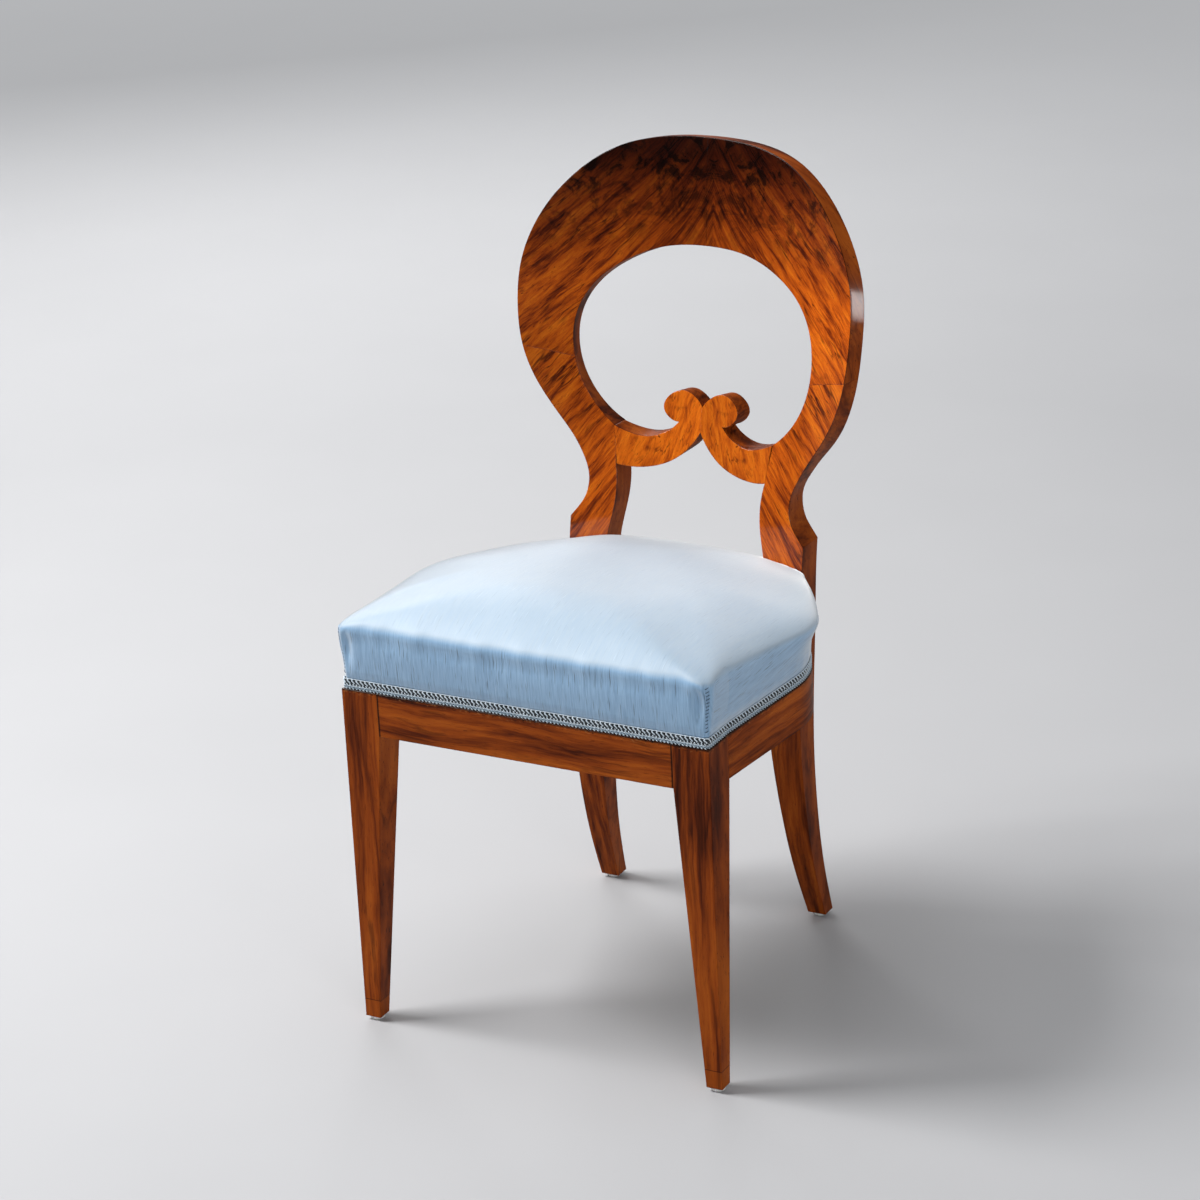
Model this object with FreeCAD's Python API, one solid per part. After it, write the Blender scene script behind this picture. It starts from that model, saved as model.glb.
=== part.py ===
# Biedermeier side chair: sabre rear posts, balloon back with a pair of scrolls, bell-shaped sprung seat.
# Millimetres, +Z up. Sizes are drawn with x = 0 on the plane of symmetry, y = 0 on the front of the front
# legs and z = 0 on the floor. At the end everything is moved so that the origin is the middle of the footprint.
import FreeCAD, Part
import math
import os

from FreeCAD import Vector

# Front legs and seat rails
FRONT_WIDTH = 450.0
LEG_WIDTH = 44.0
LEG_DEPTH = 45.0
FOOT_SIZE = 19.0
RAIL_BOTTOM = 357.5
RAIL_TOP = 421.0
RAIL_THICKNESS = 26.0
GLIDE_HEIGHT = 5.0

# Plan of the seat, which swells behind the front legs and then draws in to the rear posts
SIDE_FLARE = 0.10
SIDE_DRAW_IN = math.tan(math.radians(31.0))
SIDE_BEND_RADIUS = 120.0
REAR_RAIL_BACK = 412.0
REAR_RAIL_THICKNESS = 24.0

# Rebate along the top of the rails, which lets the cover and its braid lie flush with the wood
REBATE_DEPTH = 4.2
BRAID_BOTTOM = 408.5
BRAID_HEIGHT = 13.0
BRAID_THICKNESS = 2.5

# Rear posts in front view
POST_OUTER = 149.0
POST_INNER = 102.0
REAR_FOOT_INNER = 126.5
FLARE_HEIGHT = 480.0
STILE_BOTTOM = 452.0

# Side view of the posts and the back: height, front face on the line of the stiles, thickness, hollow.
# The hollow is how fast the front face comes forward with the square of the distance from the middle.
STILE_LINE = 112.0
PROFILE = [
    (-20.0, 440.0, 18.4, 0.0),
    (60.0, 410.0, 24.0, 0.0),
    (130.0, 391.6, 28.7, 0.0),
    (200.0, 380.6, 33.2, 0.0),
    (270.0, 376.9, 37.4, 0.0),
    (340.0, 380.5, 40.5, 0.0),
    (400.0, 386.5, 41.0, 0.0),
    (460.0, 394.5, 39.5, 0.0),
    (510.0, 405.5, 38.0, 0.0),
    (560.0, 418.0, 34.5, 0.0005),
    (610.0, 430.0, 30.0, 0.0011),
    (670.0, 441.3, 27.5, 0.0014),
    (740.0, 452.7, 27.0, 0.00142),
    (820.0, 464.0, 26.5, 0.00142),
    (940.0, 478.5, 25.0, 0.00142),
]
SHEET_HALF_WIDTH = 235.0

# The edges of the balloon are cut nearly square to its hollow, raked face, those of the legs straight back
EDGE_TURN_START = 540.0
EDGE_TURN_END = 620.0
EDGE_SPLAY = 0.0013
EDGE_RAKE = 0.21
PRISM_FRONT = 350.0
PRISM_BACK = 560.0

# Front view of the balloon, right half, from the top down to the flare above the seat
OUTER_CURVE = [
    (52.0, 919.0), (105.5, 907.5), (153.0, 877.0), (188.0, 832.5), (207.0, 779.5), (208.7, 724.0),
    (203.0, 681.0), (189.0, 640.0), (170.5, 609.0), (151.5, 582.5), (137.5, 558.0), (129.3, 536.0),
    (128.0, 519.0), (132.8, 502.0), (141.0, 490.0), (POST_OUTER, FLARE_HEIGHT),
]
BALLOON_TOP = 921.0
OPENING_TOP = 798.0
OPENING_CURVE = [
    (41.3, 795.5), (67.0, 789.5), (95.0, 777.5), (124.5, 757.0), (146.0, 724.0), (151.0, 683.5),
    (141.5, 642.5), (124.5, 612.0), (100.5, 588.0),
]
STILE_INNER_CURVE = [(95.0, 545.0), (92.0, 523.0), (93.0, 500.0), (97.5, 476.0), (POST_INNER, STILE_BOTTOM)]

# The scrolls bend back from the stiles to the middle more than the balloon above them
SCROLL_LINE = 97.0
SCROLL_HOLLOW = 0.0021
SCROLL_HEIGHTS = (500.0, 540.0, 570.0, 600.0, 640.0, 680.0)

# The joints between the crest and the posts lie on lines through these two points of the front view
CREST_JOINT_INNER = (147.0, 665.0)
CREST_JOINT_OUTER = (204.0, 681.0)
VENEER_THICKNESS = 1.2
VENEER_BOTTOM = 432.0

# Front view of one scroll, right half: from the stile along its underside to the middle, then its curl
SCROLL_UNDERSIDE = [(95.0, 545.0), (60.0, 542.0), (27.0, 553.5), (9.0, 571.0), (0.0, 586.0)]
SCROLL_MEETING_TOP = (0.0, 614.0)
SCROLL_CURL = [(9.0, 625.0), (26.0, 631.5), (46.5, 613.0), (38.0, 598.5), (27.5, 595.5)]
SCROLL_UPPER_SIDE = [(27.5, 595.5), (39.0, 584.5), (61.0, 576.8), (82.0, 580.0), (100.5, 588.0)]

# Dowels
CREST_DOWEL_RADIUS = 4.0
CREST_DOWEL_LENGTH = 36.0
SCROLL_DOWEL_RADIUS = 3.0
SCROLL_DOWEL_LENGTH = 26.0

# Tenons of the rails
TENON_THICKNESS = 10.0
TENON_LENGTH = 24.0
TENON_SHOULDER = 9.0

# Corner blocks glued inside the frame
BLOCK_BOTTOM = 372.0
BLOCK_TOP = 408.0
BLOCK_REACH = 58.0

# Seat: webbing under the rails, springs on its crossings, canvas over them, stuffing and cover
WEB_WIDTH = 46.0
WEB_THICKNESS = 1.6
WEB_LENGTHWISE_X = [-72.0, 0.0, 72.0]
WEB_CROSSWISE_Y = [110.0, 200.0, 290.0]
WEB_EDGE_MARGIN = 7.0
SPRING_WIRE = 3.4
WIRE_SIDES = 6
SPRING_END_RADIUS = 34.0
SPRING_WAIST_RADIUS = 23.0
SPRING_TURNS = 4.5
CANVAS_THICKNESS = 1.5
CANVAS_INSET = 9.0
COVER_THICKNESS = 1.5
# Outside of the cushion: height at the front, distance inside the faces of the wooden frame at the front and
# at the sides, radius of the corners. The heights fall towards the back, the more the higher they are.
SEAT_FALL = 0.0012
CUSHION_EDGE = 480.0
CUSHION_FORM = [
    (430.0, 2.7, 2.7, 5.0),
    (450.0, 1.2, 0.5, 7.0),
    (464.0, -1.2, -3.2, 10.0),
    (477.0, -2.4, -4.4, 13.0),
    (487.0, 0.8, 0.0, 17.0),
    (495.5, 7.0, 11.0, 23.0),
    (503.0, 16.5, 23.5, 30.0),
    (510.5, 30.0, 38.0, 38.0),
    (517.5, 48.0, 56.0, 46.0),
    (523.5, 70.0, 77.0, 51.0),
    (528.5, 106.0, 112.0, 52.0),
]
LOFT_DEGREE = 3

# Nail-on glides
GLIDE_RADIUS = 8.2
GLIDE_EDGE = 1.5
NAIL_RADIUS = 1.1
NAIL_LENGTH = 14.0

HALF_WIDTH = FRONT_WIDTH / 2


def interpolate(height, column):
    """Value of one column of the side-view profile at a height."""
    for low, high in zip(PROFILE, PROFILE[1:]):
        if height <= high[0]:
            share = (height - low[0]) / (high[0] - low[0])
            return low[column] + share * (high[column] - low[column])
    return PROFILE[-1][column]


def front_face(x, height):
    """Depth of the front face of the back at a point of its front view."""
    hollow = interpolate(height, 3)
    return interpolate(height, 1) + hollow * (STILE_LINE ** 2 - x ** 2)


def section_curve(x_from, x_to, edge, middle, height):
    """Level curve across the board: a parabola from one side to the other."""
    curve = Part.BezierCurve()
    curve.setPoles([
        Vector(x_from, edge, height), Vector(0, 2 * middle - edge, height), Vector(x_to, edge, height)])
    return curve.toShape()


def curved_sheet(profile, line, near, far=None):
    """Curved board between two depths behind the front face; with no far depth it has its full thickness."""
    side = SHEET_HALF_WIDTH
    sections = []
    for height, front, thickness, hollow in profile:
        middle = front + hollow * line ** 2
        edge = middle - hollow * side ** 2
        back = thickness if far is None else far
        front_curve = section_curve(-side, side, edge + near, middle + near, height)
        back_curve = section_curve(side, -side, edge + back, middle + back, height)
        right = Part.makeLine(Vector(side, edge + near, height), Vector(side, edge + back, height))
        left = Part.makeLine(Vector(-side, edge + back, height), Vector(-side, edge + near, height))
        sections.append(Part.Wire([front_curve, right, back_curve, left]))
    return Part.makeLoft(sections, True, False, False, LOFT_DEGREE)


def edge_turn(height):
    """Share, from 0 to 1, of the square cut that the edges have at a height."""
    share = (height - EDGE_TURN_START) / (EDGE_TURN_END - EDGE_TURN_START)
    return min(max(share, 0.0), 1.0)


def edge_line(x, height, depth):
    """Where the sawn edge through a point of the front view crosses the plane y = depth."""
    behind = edge_turn(height) * (depth - front_face(x, height))
    return Vector(x * (1 + EDGE_SPLAY * behind), depth, height - EDGE_RAKE * behind)


def run_edge(points):
    """Straight edge through two points, or a smooth curve through more."""
    if len(points) == 2:
        return Part.makeLine(points[0], points[1])
    curve = Part.BSplineCurve()
    curve.interpolate(points)
    return curve.toShape()


def sawn_prism(runs):
    """Solid inside the sawn edges of a front-view outline, given as runs of points."""
    wires = []
    for depth in (PRISM_FRONT, PRISM_BACK):
        edges = [run_edge([edge_line(x, height, depth) for x, height in run]) for run in runs]
        wires.append(Part.Wire(edges))
    return Part.makeLoft(wires, True, True)


def mirror_points(points):
    """The same points on the other side, in the opposite order."""
    return [(-x, height) for x, height in reversed(points)]


def mirror_runs(runs):
    return [mirror_points(run) for run in reversed(runs)]


def mirrored(shape):
    return shape.mirror(Vector(0, 0, 0), Vector(1, 0, 0))


def box(low, high):
    size = [b - a for a, b in zip(low, high)]
    return Part.makeBox(size[0], size[1], size[2], Vector(*low))


def front_view_prism(points, low, high):
    """Straight prism along y over a polygon of the front view."""
    corners = [Vector(x, low, height) for x, height in points]
    face = Part.Face(Part.makePolygon(corners + corners[:1]))
    return face.extrude(Vector(0, high - low, 0))


def plan_prism(points, low, high):
    """Straight prism along z over a polygon of the plan."""
    corners = [Vector(x, y, low) for x, y in points]
    face = Part.Face(Part.makePolygon(corners + corners[:1]))
    return face.extrude(Vector(0, 0, high - low))


def biggest(shape):
    return max(shape.Solids, key=lambda solid: solid.Volume)


def rod(centre, axis, radius, length):
    """Cylinder with its middle at a point."""
    axis = Vector(axis).normalize()
    return Part.makeCylinder(radius, length, Vector(centre) - axis * (length / 2), axis)


# Back: posts, crest, scrolls and their veneers

def balloon_blank():
    """Both posts and the balloon as one sawn outline, before the joints divide it."""
    outer = mirror_points(OUTER_CURVE) + [(0.0, BALLOON_TOP)] + OUTER_CURVE
    opening = list(reversed(OPENING_CURVE)) + [(0.0, OPENING_TOP)] + mirror_points(list(reversed(OPENING_CURVE)))
    right_leg = [
        [(POST_OUTER, FLARE_HEIGHT), (POST_OUTER, GLIDE_HEIGHT)],
        [(POST_OUTER, GLIDE_HEIGHT), (REAR_FOOT_INNER, GLIDE_HEIGHT)],
        [(REAR_FOOT_INNER, GLIDE_HEIGHT), (POST_INNER, RAIL_BOTTOM)],
        [(POST_INNER, RAIL_BOTTOM), (POST_INNER, STILE_BOTTOM)],
        list(reversed(STILE_INNER_CURVE)),
        [STILE_INNER_CURVE[0], OPENING_CURVE[-1]],
    ]
    board = curved_sheet(PROFILE, STILE_LINE, 0.0)
    return board.common(sawn_prism([outer] + right_leg + [opening] + mirror_runs(right_leg)))


def crest_zone():
    """Everything above the two joints of the crest."""
    rise = (CREST_JOINT_OUTER[1] - CREST_JOINT_INNER[1]) / (CREST_JOINT_OUTER[0] - CREST_JOINT_INNER[0])
    middle = CREST_JOINT_INNER[1] - rise * CREST_JOINT_INNER[0]
    side = middle + rise * SHEET_HALF_WIDTH
    top = BALLOON_TOP + 50
    outline = [(-SHEET_HALF_WIDTH, side), (0, middle), (SHEET_HALF_WIDTH, side)]
    outline += [(SHEET_HALF_WIDTH, top), (-SHEET_HALF_WIDTH, top)]
    return front_view_prism(outline, PRISM_FRONT, PRISM_BACK)


def scroll_profile():
    """Side view of the scrolls, flush with the stiles where they join them."""
    return [(z, front_face(SCROLL_LINE, z), interpolate(z, 2), SCROLL_HOLLOW) for z in SCROLL_HEIGHTS]


def right_scroll_blank():
    runs = [
        SCROLL_UNDERSIDE,
        [SCROLL_UNDERSIDE[-1], SCROLL_MEETING_TOP],
        [SCROLL_MEETING_TOP] + SCROLL_CURL,
        SCROLL_UPPER_SIDE,
        [SCROLL_UPPER_SIDE[-1], SCROLL_UNDERSIDE[0]],
    ]
    board = curved_sheet(scroll_profile(), SCROLL_LINE, 0.0)
    return biggest(board.common(sawn_prism(runs)))


def crest_dowels():
    """Two dowels across each joint of the crest."""
    along = Vector(CREST_JOINT_OUTER[0] - CREST_JOINT_INNER[0], 0, CREST_JOINT_OUTER[1] - CREST_JOINT_INNER[1])
    across = Vector(-along.z, 0, along.x)
    dowels = []
    for share in (0.27, 0.73):
        spot = Vector(CREST_JOINT_INNER[0], 0, CREST_JOINT_INNER[1]) + along * share
        spot.y = front_face(spot.x, spot.z) + interpolate(spot.z, 2) / 2
        dowel = rod(spot, across, CREST_DOWEL_RADIUS, CREST_DOWEL_LENGTH)
        dowels += [dowel, mirrored(dowel)]
    return Part.makeCompound(dowels)


def scroll_dowels():
    """Two dowels from each scroll into its stile, and one where the scrolls meet."""
    low = SCROLL_UNDERSIDE[0]
    high = SCROLL_UPPER_SIDE[-1]
    across = Vector(high[1] - low[1], 0, low[0] - high[0])
    dowels = []
    for share in (0.22, 0.60):
        spot = Vector(low[0] + share * (high[0] - low[0]), 0, low[1] + share * (high[1] - low[1]))
        spot.y = front_face(spot.x, spot.z) + interpolate(spot.z, 2) / 2
        dowel = rod(spot, across, SCROLL_DOWEL_RADIUS, SCROLL_DOWEL_LENGTH)
        dowels += [dowel, mirrored(dowel)]
    meeting = (SCROLL_UNDERSIDE[-1][1] + SCROLL_MEETING_TOP[1]) / 2
    depth = front_face(SCROLL_LINE, meeting) + SCROLL_HOLLOW * SCROLL_LINE ** 2 + interpolate(meeting, 2) / 2
    dowels.append(rod(Vector(0, depth, meeting), Vector(1, 0, 0), SCROLL_DOWEL_RADIUS, SCROLL_DOWEL_LENGTH))
    return Part.makeCompound(dowels)


# Seat frame

def seat_outline(inset, corner_radius, height, side_inset=None, fall=0.0):
    """Plan of the seat at a height, a distance inside the faces of the rails.
    A fall lowers the outline towards the back."""
    if side_inset is None:
        side_inset = inset
    flare_start = HALF_WIDTH - SIDE_FLARE * LEG_DEPTH - side_inset * math.hypot(1, SIDE_FLARE)
    post_front = front_face(POST_OUTER, RAIL_BOTTOM)
    side_end = POST_OUTER + SIDE_DRAW_IN * post_front - side_inset * math.hypot(1, SIDE_DRAW_IN)
    bend_y = (side_end - flare_start) / (SIDE_FLARE + SIDE_DRAW_IN)
    rear_y = REAR_RAIL_BACK - side_inset
    bend_radius = max(SIDE_BEND_RADIUS - side_inset, SIDE_BEND_RADIUS / 3)
    right = [
        (HALF_WIDTH - side_inset, inset, corner_radius),
        (HALF_WIDTH - side_inset, LEG_DEPTH + 1.1 * side_inset, 0.0),
        (flare_start + SIDE_FLARE * bend_y, bend_y, bend_radius),
        (side_end - SIDE_DRAW_IN * rear_y, rear_y, corner_radius),
    ]
    left = [(-x, y, radius) for x, y, radius in reversed(right)]
    return rounded_wire(right + left, height, fall)


def rounded_wire(corners, height, fall):
    """Closed outline with a tangent arc at each corner that has a radius."""
    places = [Vector(x, y, height - fall * y) for x, y, radius in corners]
    arcs = []
    for index, corner in enumerate(places):
        before = (places[index - 1] - corner).normalize()
        after = (places[(index + 1) % len(places)] - corner).normalize()
        radius = corners[index][2]
        half_angle = before.getAngle(after) / 2
        reach = radius / math.tan(half_angle)
        inward = (before + after).normalize()
        middle = corner + inward * (radius / math.sin(half_angle) - radius)
        arcs.append((corner + before * reach, middle, corner + after * reach))
    edges = []
    for index, (start, middle, end) in enumerate(arcs):
        if corners[index][2] > 0:
            edges.append(Part.Arc(start, middle, end).toShape())
        edges.append(Part.makeLine(end, arcs[(index + 1) % len(arcs)][0]))
    return Part.Wire(edges)


def seat_prism(inset, low, high, corner_radius=0.0):
    """Straight prism over the plan of the seat."""
    wire = seat_outline(inset, corner_radius, low)
    return Part.Face(wire).extrude(Vector(0, 0, high - low))


def rebate_waste():
    """What is planed off the top of the frame to seat the cover and its braid."""
    room = HALF_WIDTH * 2
    block = box((-room, -room, BRAID_BOTTOM), (room, room * 2, RAIL_TOP + 10))
    corner_radius = CUSHION_FORM[0][3]
    return block.cut(seat_prism(REBATE_DEPTH, BRAID_BOTTOM, RAIL_TOP + 10, corner_radius))


def right_front_leg():
    """Square leg, tapered on its two inner faces below the rails."""
    outer = HALF_WIDTH
    sections = []
    for width, depth, height in ((FOOT_SIZE, FOOT_SIZE, GLIDE_HEIGHT), (LEG_WIDTH, LEG_DEPTH, RAIL_BOTTOM)):
        corners = [(outer - width, 0), (outer, 0), (outer, depth), (outer - width, depth)]
        points = [Vector(x, y, height) for x, y in corners]
        sections.append(Part.makePolygon(points + points[:1]))
    taper = Part.makeLoft(sections, True, True)
    head = box((outer - LEG_WIDTH, 0, RAIL_BOTTOM), (outer, LEG_DEPTH, RAIL_TOP))
    return taper.fuse(head).removeSplitter()


TENON_LOW = RAIL_BOTTOM + TENON_SHOULDER
TENON_HIGH = BRAID_BOTTOM - 2


def front_rail_tenon():
    start = HALF_WIDTH - LEG_WIDTH
    near = (RAIL_THICKNESS - TENON_THICKNESS) / 2
    return box((start, near, TENON_LOW), (start + TENON_LENGTH, near + TENON_THICKNESS, TENON_HIGH))


def side_rail_front_tenon():
    outer = HALF_WIDTH - (RAIL_THICKNESS - TENON_THICKNESS) / 2
    return box((outer - TENON_THICKNESS, LEG_DEPTH - TENON_LENGTH, TENON_LOW), (outer, LEG_DEPTH, TENON_HIGH))


def side_rail_rear_tenon():
    front = front_face(POST_OUTER, RAIL_BOTTOM)
    outer = POST_OUTER - TENON_THICKNESS
    return box((outer - TENON_THICKNESS, front - 6, TENON_LOW), (outer, front + TENON_LENGTH, TENON_HIGH))


def rear_rail_tenon():
    near = REAR_RAIL_BACK - (REAR_RAIL_THICKNESS + TENON_THICKNESS) / 2
    end = POST_INNER + TENON_LENGTH - 4
    return box((POST_INNER, near, TENON_LOW), (end, near + TENON_THICKNESS, TENON_HIGH))


def rail_ring():
    return seat_prism(0.0, RAIL_BOTTOM, RAIL_TOP).cut(seat_prism(RAIL_THICKNESS, RAIL_BOTTOM, RAIL_TOP))


def front_rail(waste):
    reach = HALF_WIDTH - LEG_WIDTH
    rail = rail_ring().common(box((-reach, -1, RAIL_BOTTOM), (reach, LEG_DEPTH, RAIL_TOP)))
    return rail.cut(waste).fuse([front_rail_tenon(), mirrored(front_rail_tenon())]).removeSplitter()


def right_side_rail(post, waste):
    stretch = box((0, LEG_DEPTH, RAIL_BOTTOM), (FRONT_WIDTH, REAR_RAIL_BACK - REAR_RAIL_THICKNESS, RAIL_TOP))
    rail = biggest(rail_ring().common(stretch).cut(post))
    rear_tenon = side_rail_rear_tenon()
    return rail.cut(waste).fuse([side_rail_front_tenon(), rear_tenon]).removeSplitter()


def rear_rail(waste):
    front = REAR_RAIL_BACK - REAR_RAIL_THICKNESS
    rail = box((-POST_INNER, front, RAIL_BOTTOM), (POST_INNER, REAR_RAIL_BACK, RAIL_TOP))
    return rail.cut(waste).fuse([rear_rail_tenon(), mirrored(rear_rail_tenon())]).removeSplitter()


def right_front_block(side_rail):
    """Glue block across the front corner, notched round the leg and fitted to the side rail."""
    leg_inner = HALF_WIDTH - LEG_WIDTH
    reach = LEG_DEPTH + BLOCK_REACH
    outline = [
        (leg_inner - BLOCK_REACH, RAIL_THICKNESS), (leg_inner, RAIL_THICKNESS), (leg_inner, LEG_DEPTH),
        (HALF_WIDTH, LEG_DEPTH), (HALF_WIDTH, reach),
        (HALF_WIDTH - RAIL_THICKNESS, reach),
    ]
    return biggest(plan_prism(outline, BLOCK_BOTTOM, BLOCK_TOP).cut(side_rail))


def right_rear_block(post, side_rail):
    """Glue block across the rear corner, fitted to the post and the rails."""
    rear = REAR_RAIL_BACK - REAR_RAIL_THICKNESS
    outline = [(POST_INNER - BLOCK_REACH, rear), (POST_OUTER - 10, rear), (POST_OUTER + 16, rear - 66)]
    return biggest(plan_prism(outline, BLOCK_BOTTOM, BLOCK_TOP).cut(post).cut(side_rail))


# Seat filling and cover

def crosswise_strap(y):
    strap = box((-FRONT_WIDTH, y - WEB_WIDTH / 2, RAIL_BOTTOM - WEB_THICKNESS),
                (FRONT_WIDTH, y + WEB_WIDTH / 2, RAIL_BOTTOM))
    return strap.common(seat_prism(WEB_EDGE_MARGIN, RAIL_BOTTOM - WEB_THICKNESS, RAIL_BOTTOM))


def lengthwise_strap(x, first_over):
    """Strap from front to back that passes over and under the crosswise straps in turn."""
    start = WEB_EDGE_MARGIN
    end = REAR_RAIL_BACK - WEB_EDGE_MARGIN
    step = WEB_THICKNESS + 0.1
    path = [(start, 0.0), (RAIL_THICKNESS + 4, 0.0)]
    for index, y in enumerate(WEB_CROSSWISE_Y):
        lift = step if (index % 2 == 0) == first_over else -step
        path += [(y - WEB_WIDTH / 2 - 2, lift), (y + WEB_WIDTH / 2 + 2, lift)]
    path += [(REAR_RAIL_BACK - REAR_RAIL_THICKNESS - 4, 0.0), (end, 0.0)]
    top = [Vector(x - WEB_WIDTH / 2, y, RAIL_BOTTOM + lift) for y, lift in path]
    bottom = [Vector(p.x, p.y, p.z - WEB_THICKNESS) for p in reversed(top)]
    face = Part.Face(Part.makePolygon(top + bottom + top[:1]))
    return face.extrude(Vector(WEB_WIDTH, 0, 0))


def tangent_arc(start, tangent_point, end):
    """Arc that leaves start and reaches end along lines through the tangent point."""
    reach = (start - tangent_point).Length
    middle_of_chord = (start + end) * 0.5
    half_turn = math.asin(min((middle_of_chord - tangent_point).Length / reach, 1.0))
    sag = reach / math.tan(half_turn) * (1 / math.cos(half_turn) - 1)
    middle = tangent_point + (middle_of_chord - tangent_point).normalize() * sag
    return Part.Arc(start, middle, end).toShape()


def biarc(start, start_way, end, end_way):
    """Two tangent arcs between two points with given directions."""
    chord = end - start
    ways = start_way + end_way
    spread = 2 * (1 - start_way.dot(end_way))
    along = chord.dot(ways)
    reach = (math.sqrt(along ** 2 + spread * chord.dot(chord)) - along) / spread
    first = start + start_way * reach
    second = end - end_way * reach
    joint = (first + second) * 0.5
    return [tangent_arc(start, first, joint), tangent_arc(joint, second, end)]


def spring_point(share):
    """Centre line of a waisted seat spring, from its foot (0) to its top (1)."""
    angle = 2 * math.pi * SPRING_TURNS * share
    radius = SPRING_WAIST_RADIUS + (SPRING_END_RADIUS - SPRING_WAIST_RADIUS) * math.cos(math.pi * share) ** 2
    foot = RAIL_BOTTOM + WEB_THICKNESS + 0.1 + SPRING_WIRE / 2
    height = RAIL_TOP - SPRING_WIRE / 2 - foot
    climb = share - math.sin(2 * math.pi * share) / (4 * math.pi)
    return Vector(radius * math.cos(angle), radius * math.sin(angle), foot + height * climb)


def spring_way(share):
    step = 1e-4
    return (spring_point(share + step) - spring_point(share - step)).normalize()


def wire_section(centre, way):
    """Six-sided section of the spring wire, square to its way."""
    across = way.cross(Vector(0, 0, 1)).normalize()
    upward = across.cross(way)
    points = []
    for side in range(WIRE_SIDES):
        angle = 2 * math.pi * side / WIRE_SIDES
        points.append(centre + (across * math.cos(angle) + upward * math.sin(angle)) * (SPRING_WIRE / 2))
    return Part.makePolygon(points + points[:1])


def seat_spring(x, y):
    """One unbroken wire coil, standing on a crossing of the webbing."""
    count = int(SPRING_TURNS * 4)
    shares = [index / count for index in range(count + 1)]
    edges = []
    for low, high in zip(shares, shares[1:]):
        edges += biarc(spring_point(low), spring_way(low), spring_point(high), spring_way(high))
    shell = Part.BRepOffsetAPI.MakePipeShell(Part.Wire(edges))
    shell.add(wire_section(spring_point(0), spring_way(0)))
    shell.build()
    shell.makeSolid()
    spring = shell.shape()
    spring.translate(Vector(x, y, 0))
    return spring


def spring_gap():
    """Least clear distance between neighbouring turns of a spring."""
    steps = 72
    count = int(SPRING_TURNS * steps)
    points = [spring_point(index / count) for index in range(count + 1)]
    least = min((points[i] - points[j]).Length
                for i in range(count + 1) for j in range(i + steps // 2, count + 1))
    return least - SPRING_WIRE


def cushion_form(shrink, bottom):
    """Crowned, full-sided body of the seat, lower at the back; shrink takes a skin off it all over."""
    base, base_inset, base_side_inset, base_radius = CUSHION_FORM[0]
    skirt = seat_prism(base_inset + shrink, bottom, base, base_radius)
    sections = []
    for height, inset, side_inset, radius in CUSHION_FORM:
        lower = height - shrink if height > CUSHION_EDGE else height
        fall = SEAT_FALL * (height - base)
        sections.append(seat_outline(inset + shrink, radius, lower, side_inset + shrink, fall))
    return Part.makeLoft(sections, True, True).fuse(skirt)


def seat_cover(posts_room):
    filling = cushion_form(COVER_THICKNESS, BRAID_BOTTOM - 10)
    return biggest(cushion_form(0.0, BRAID_BOTTOM).cut(filling).cut(posts_room))


def seat_stuffing(posts_room):
    base = RAIL_TOP + CANVAS_THICKNESS
    above = box((-FRONT_WIDTH, -FRONT_WIDTH, base), (FRONT_WIDTH, FRONT_WIDTH * 2, base + 200))
    return biggest(cushion_form(COVER_THICKNESS, BRAID_BOTTOM).common(above).cut(posts_room))


def braid_ring(posts_room):
    top = BRAID_BOTTOM + BRAID_HEIGHT
    ring = seat_prism(0.0, BRAID_BOTTOM, top).cut(seat_prism(BRAID_THICKNESS, BRAID_BOTTOM, top))
    return ring.cut(posts_room)


def glide(x, y):
    """Domed glide with its nail."""
    outline = [
        (0, 0), (GLIDE_RADIUS - GLIDE_EDGE, 0), (GLIDE_RADIUS, GLIDE_EDGE), (GLIDE_RADIUS, GLIDE_HEIGHT),
        (NAIL_RADIUS, GLIDE_HEIGHT), (NAIL_RADIUS, GLIDE_HEIGHT + NAIL_LENGTH), (0, GLIDE_HEIGHT + NAIL_LENGTH),
    ]
    points = [Vector(radius, 0, height) for radius, height in outline]
    face = Part.Face(Part.makePolygon(points + points[:1]))
    turned = face.revolve(Vector(0, 0, 0), Vector(0, 0, 1), 360)
    turned.translate(Vector(x, y, 0))
    return turned


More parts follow.
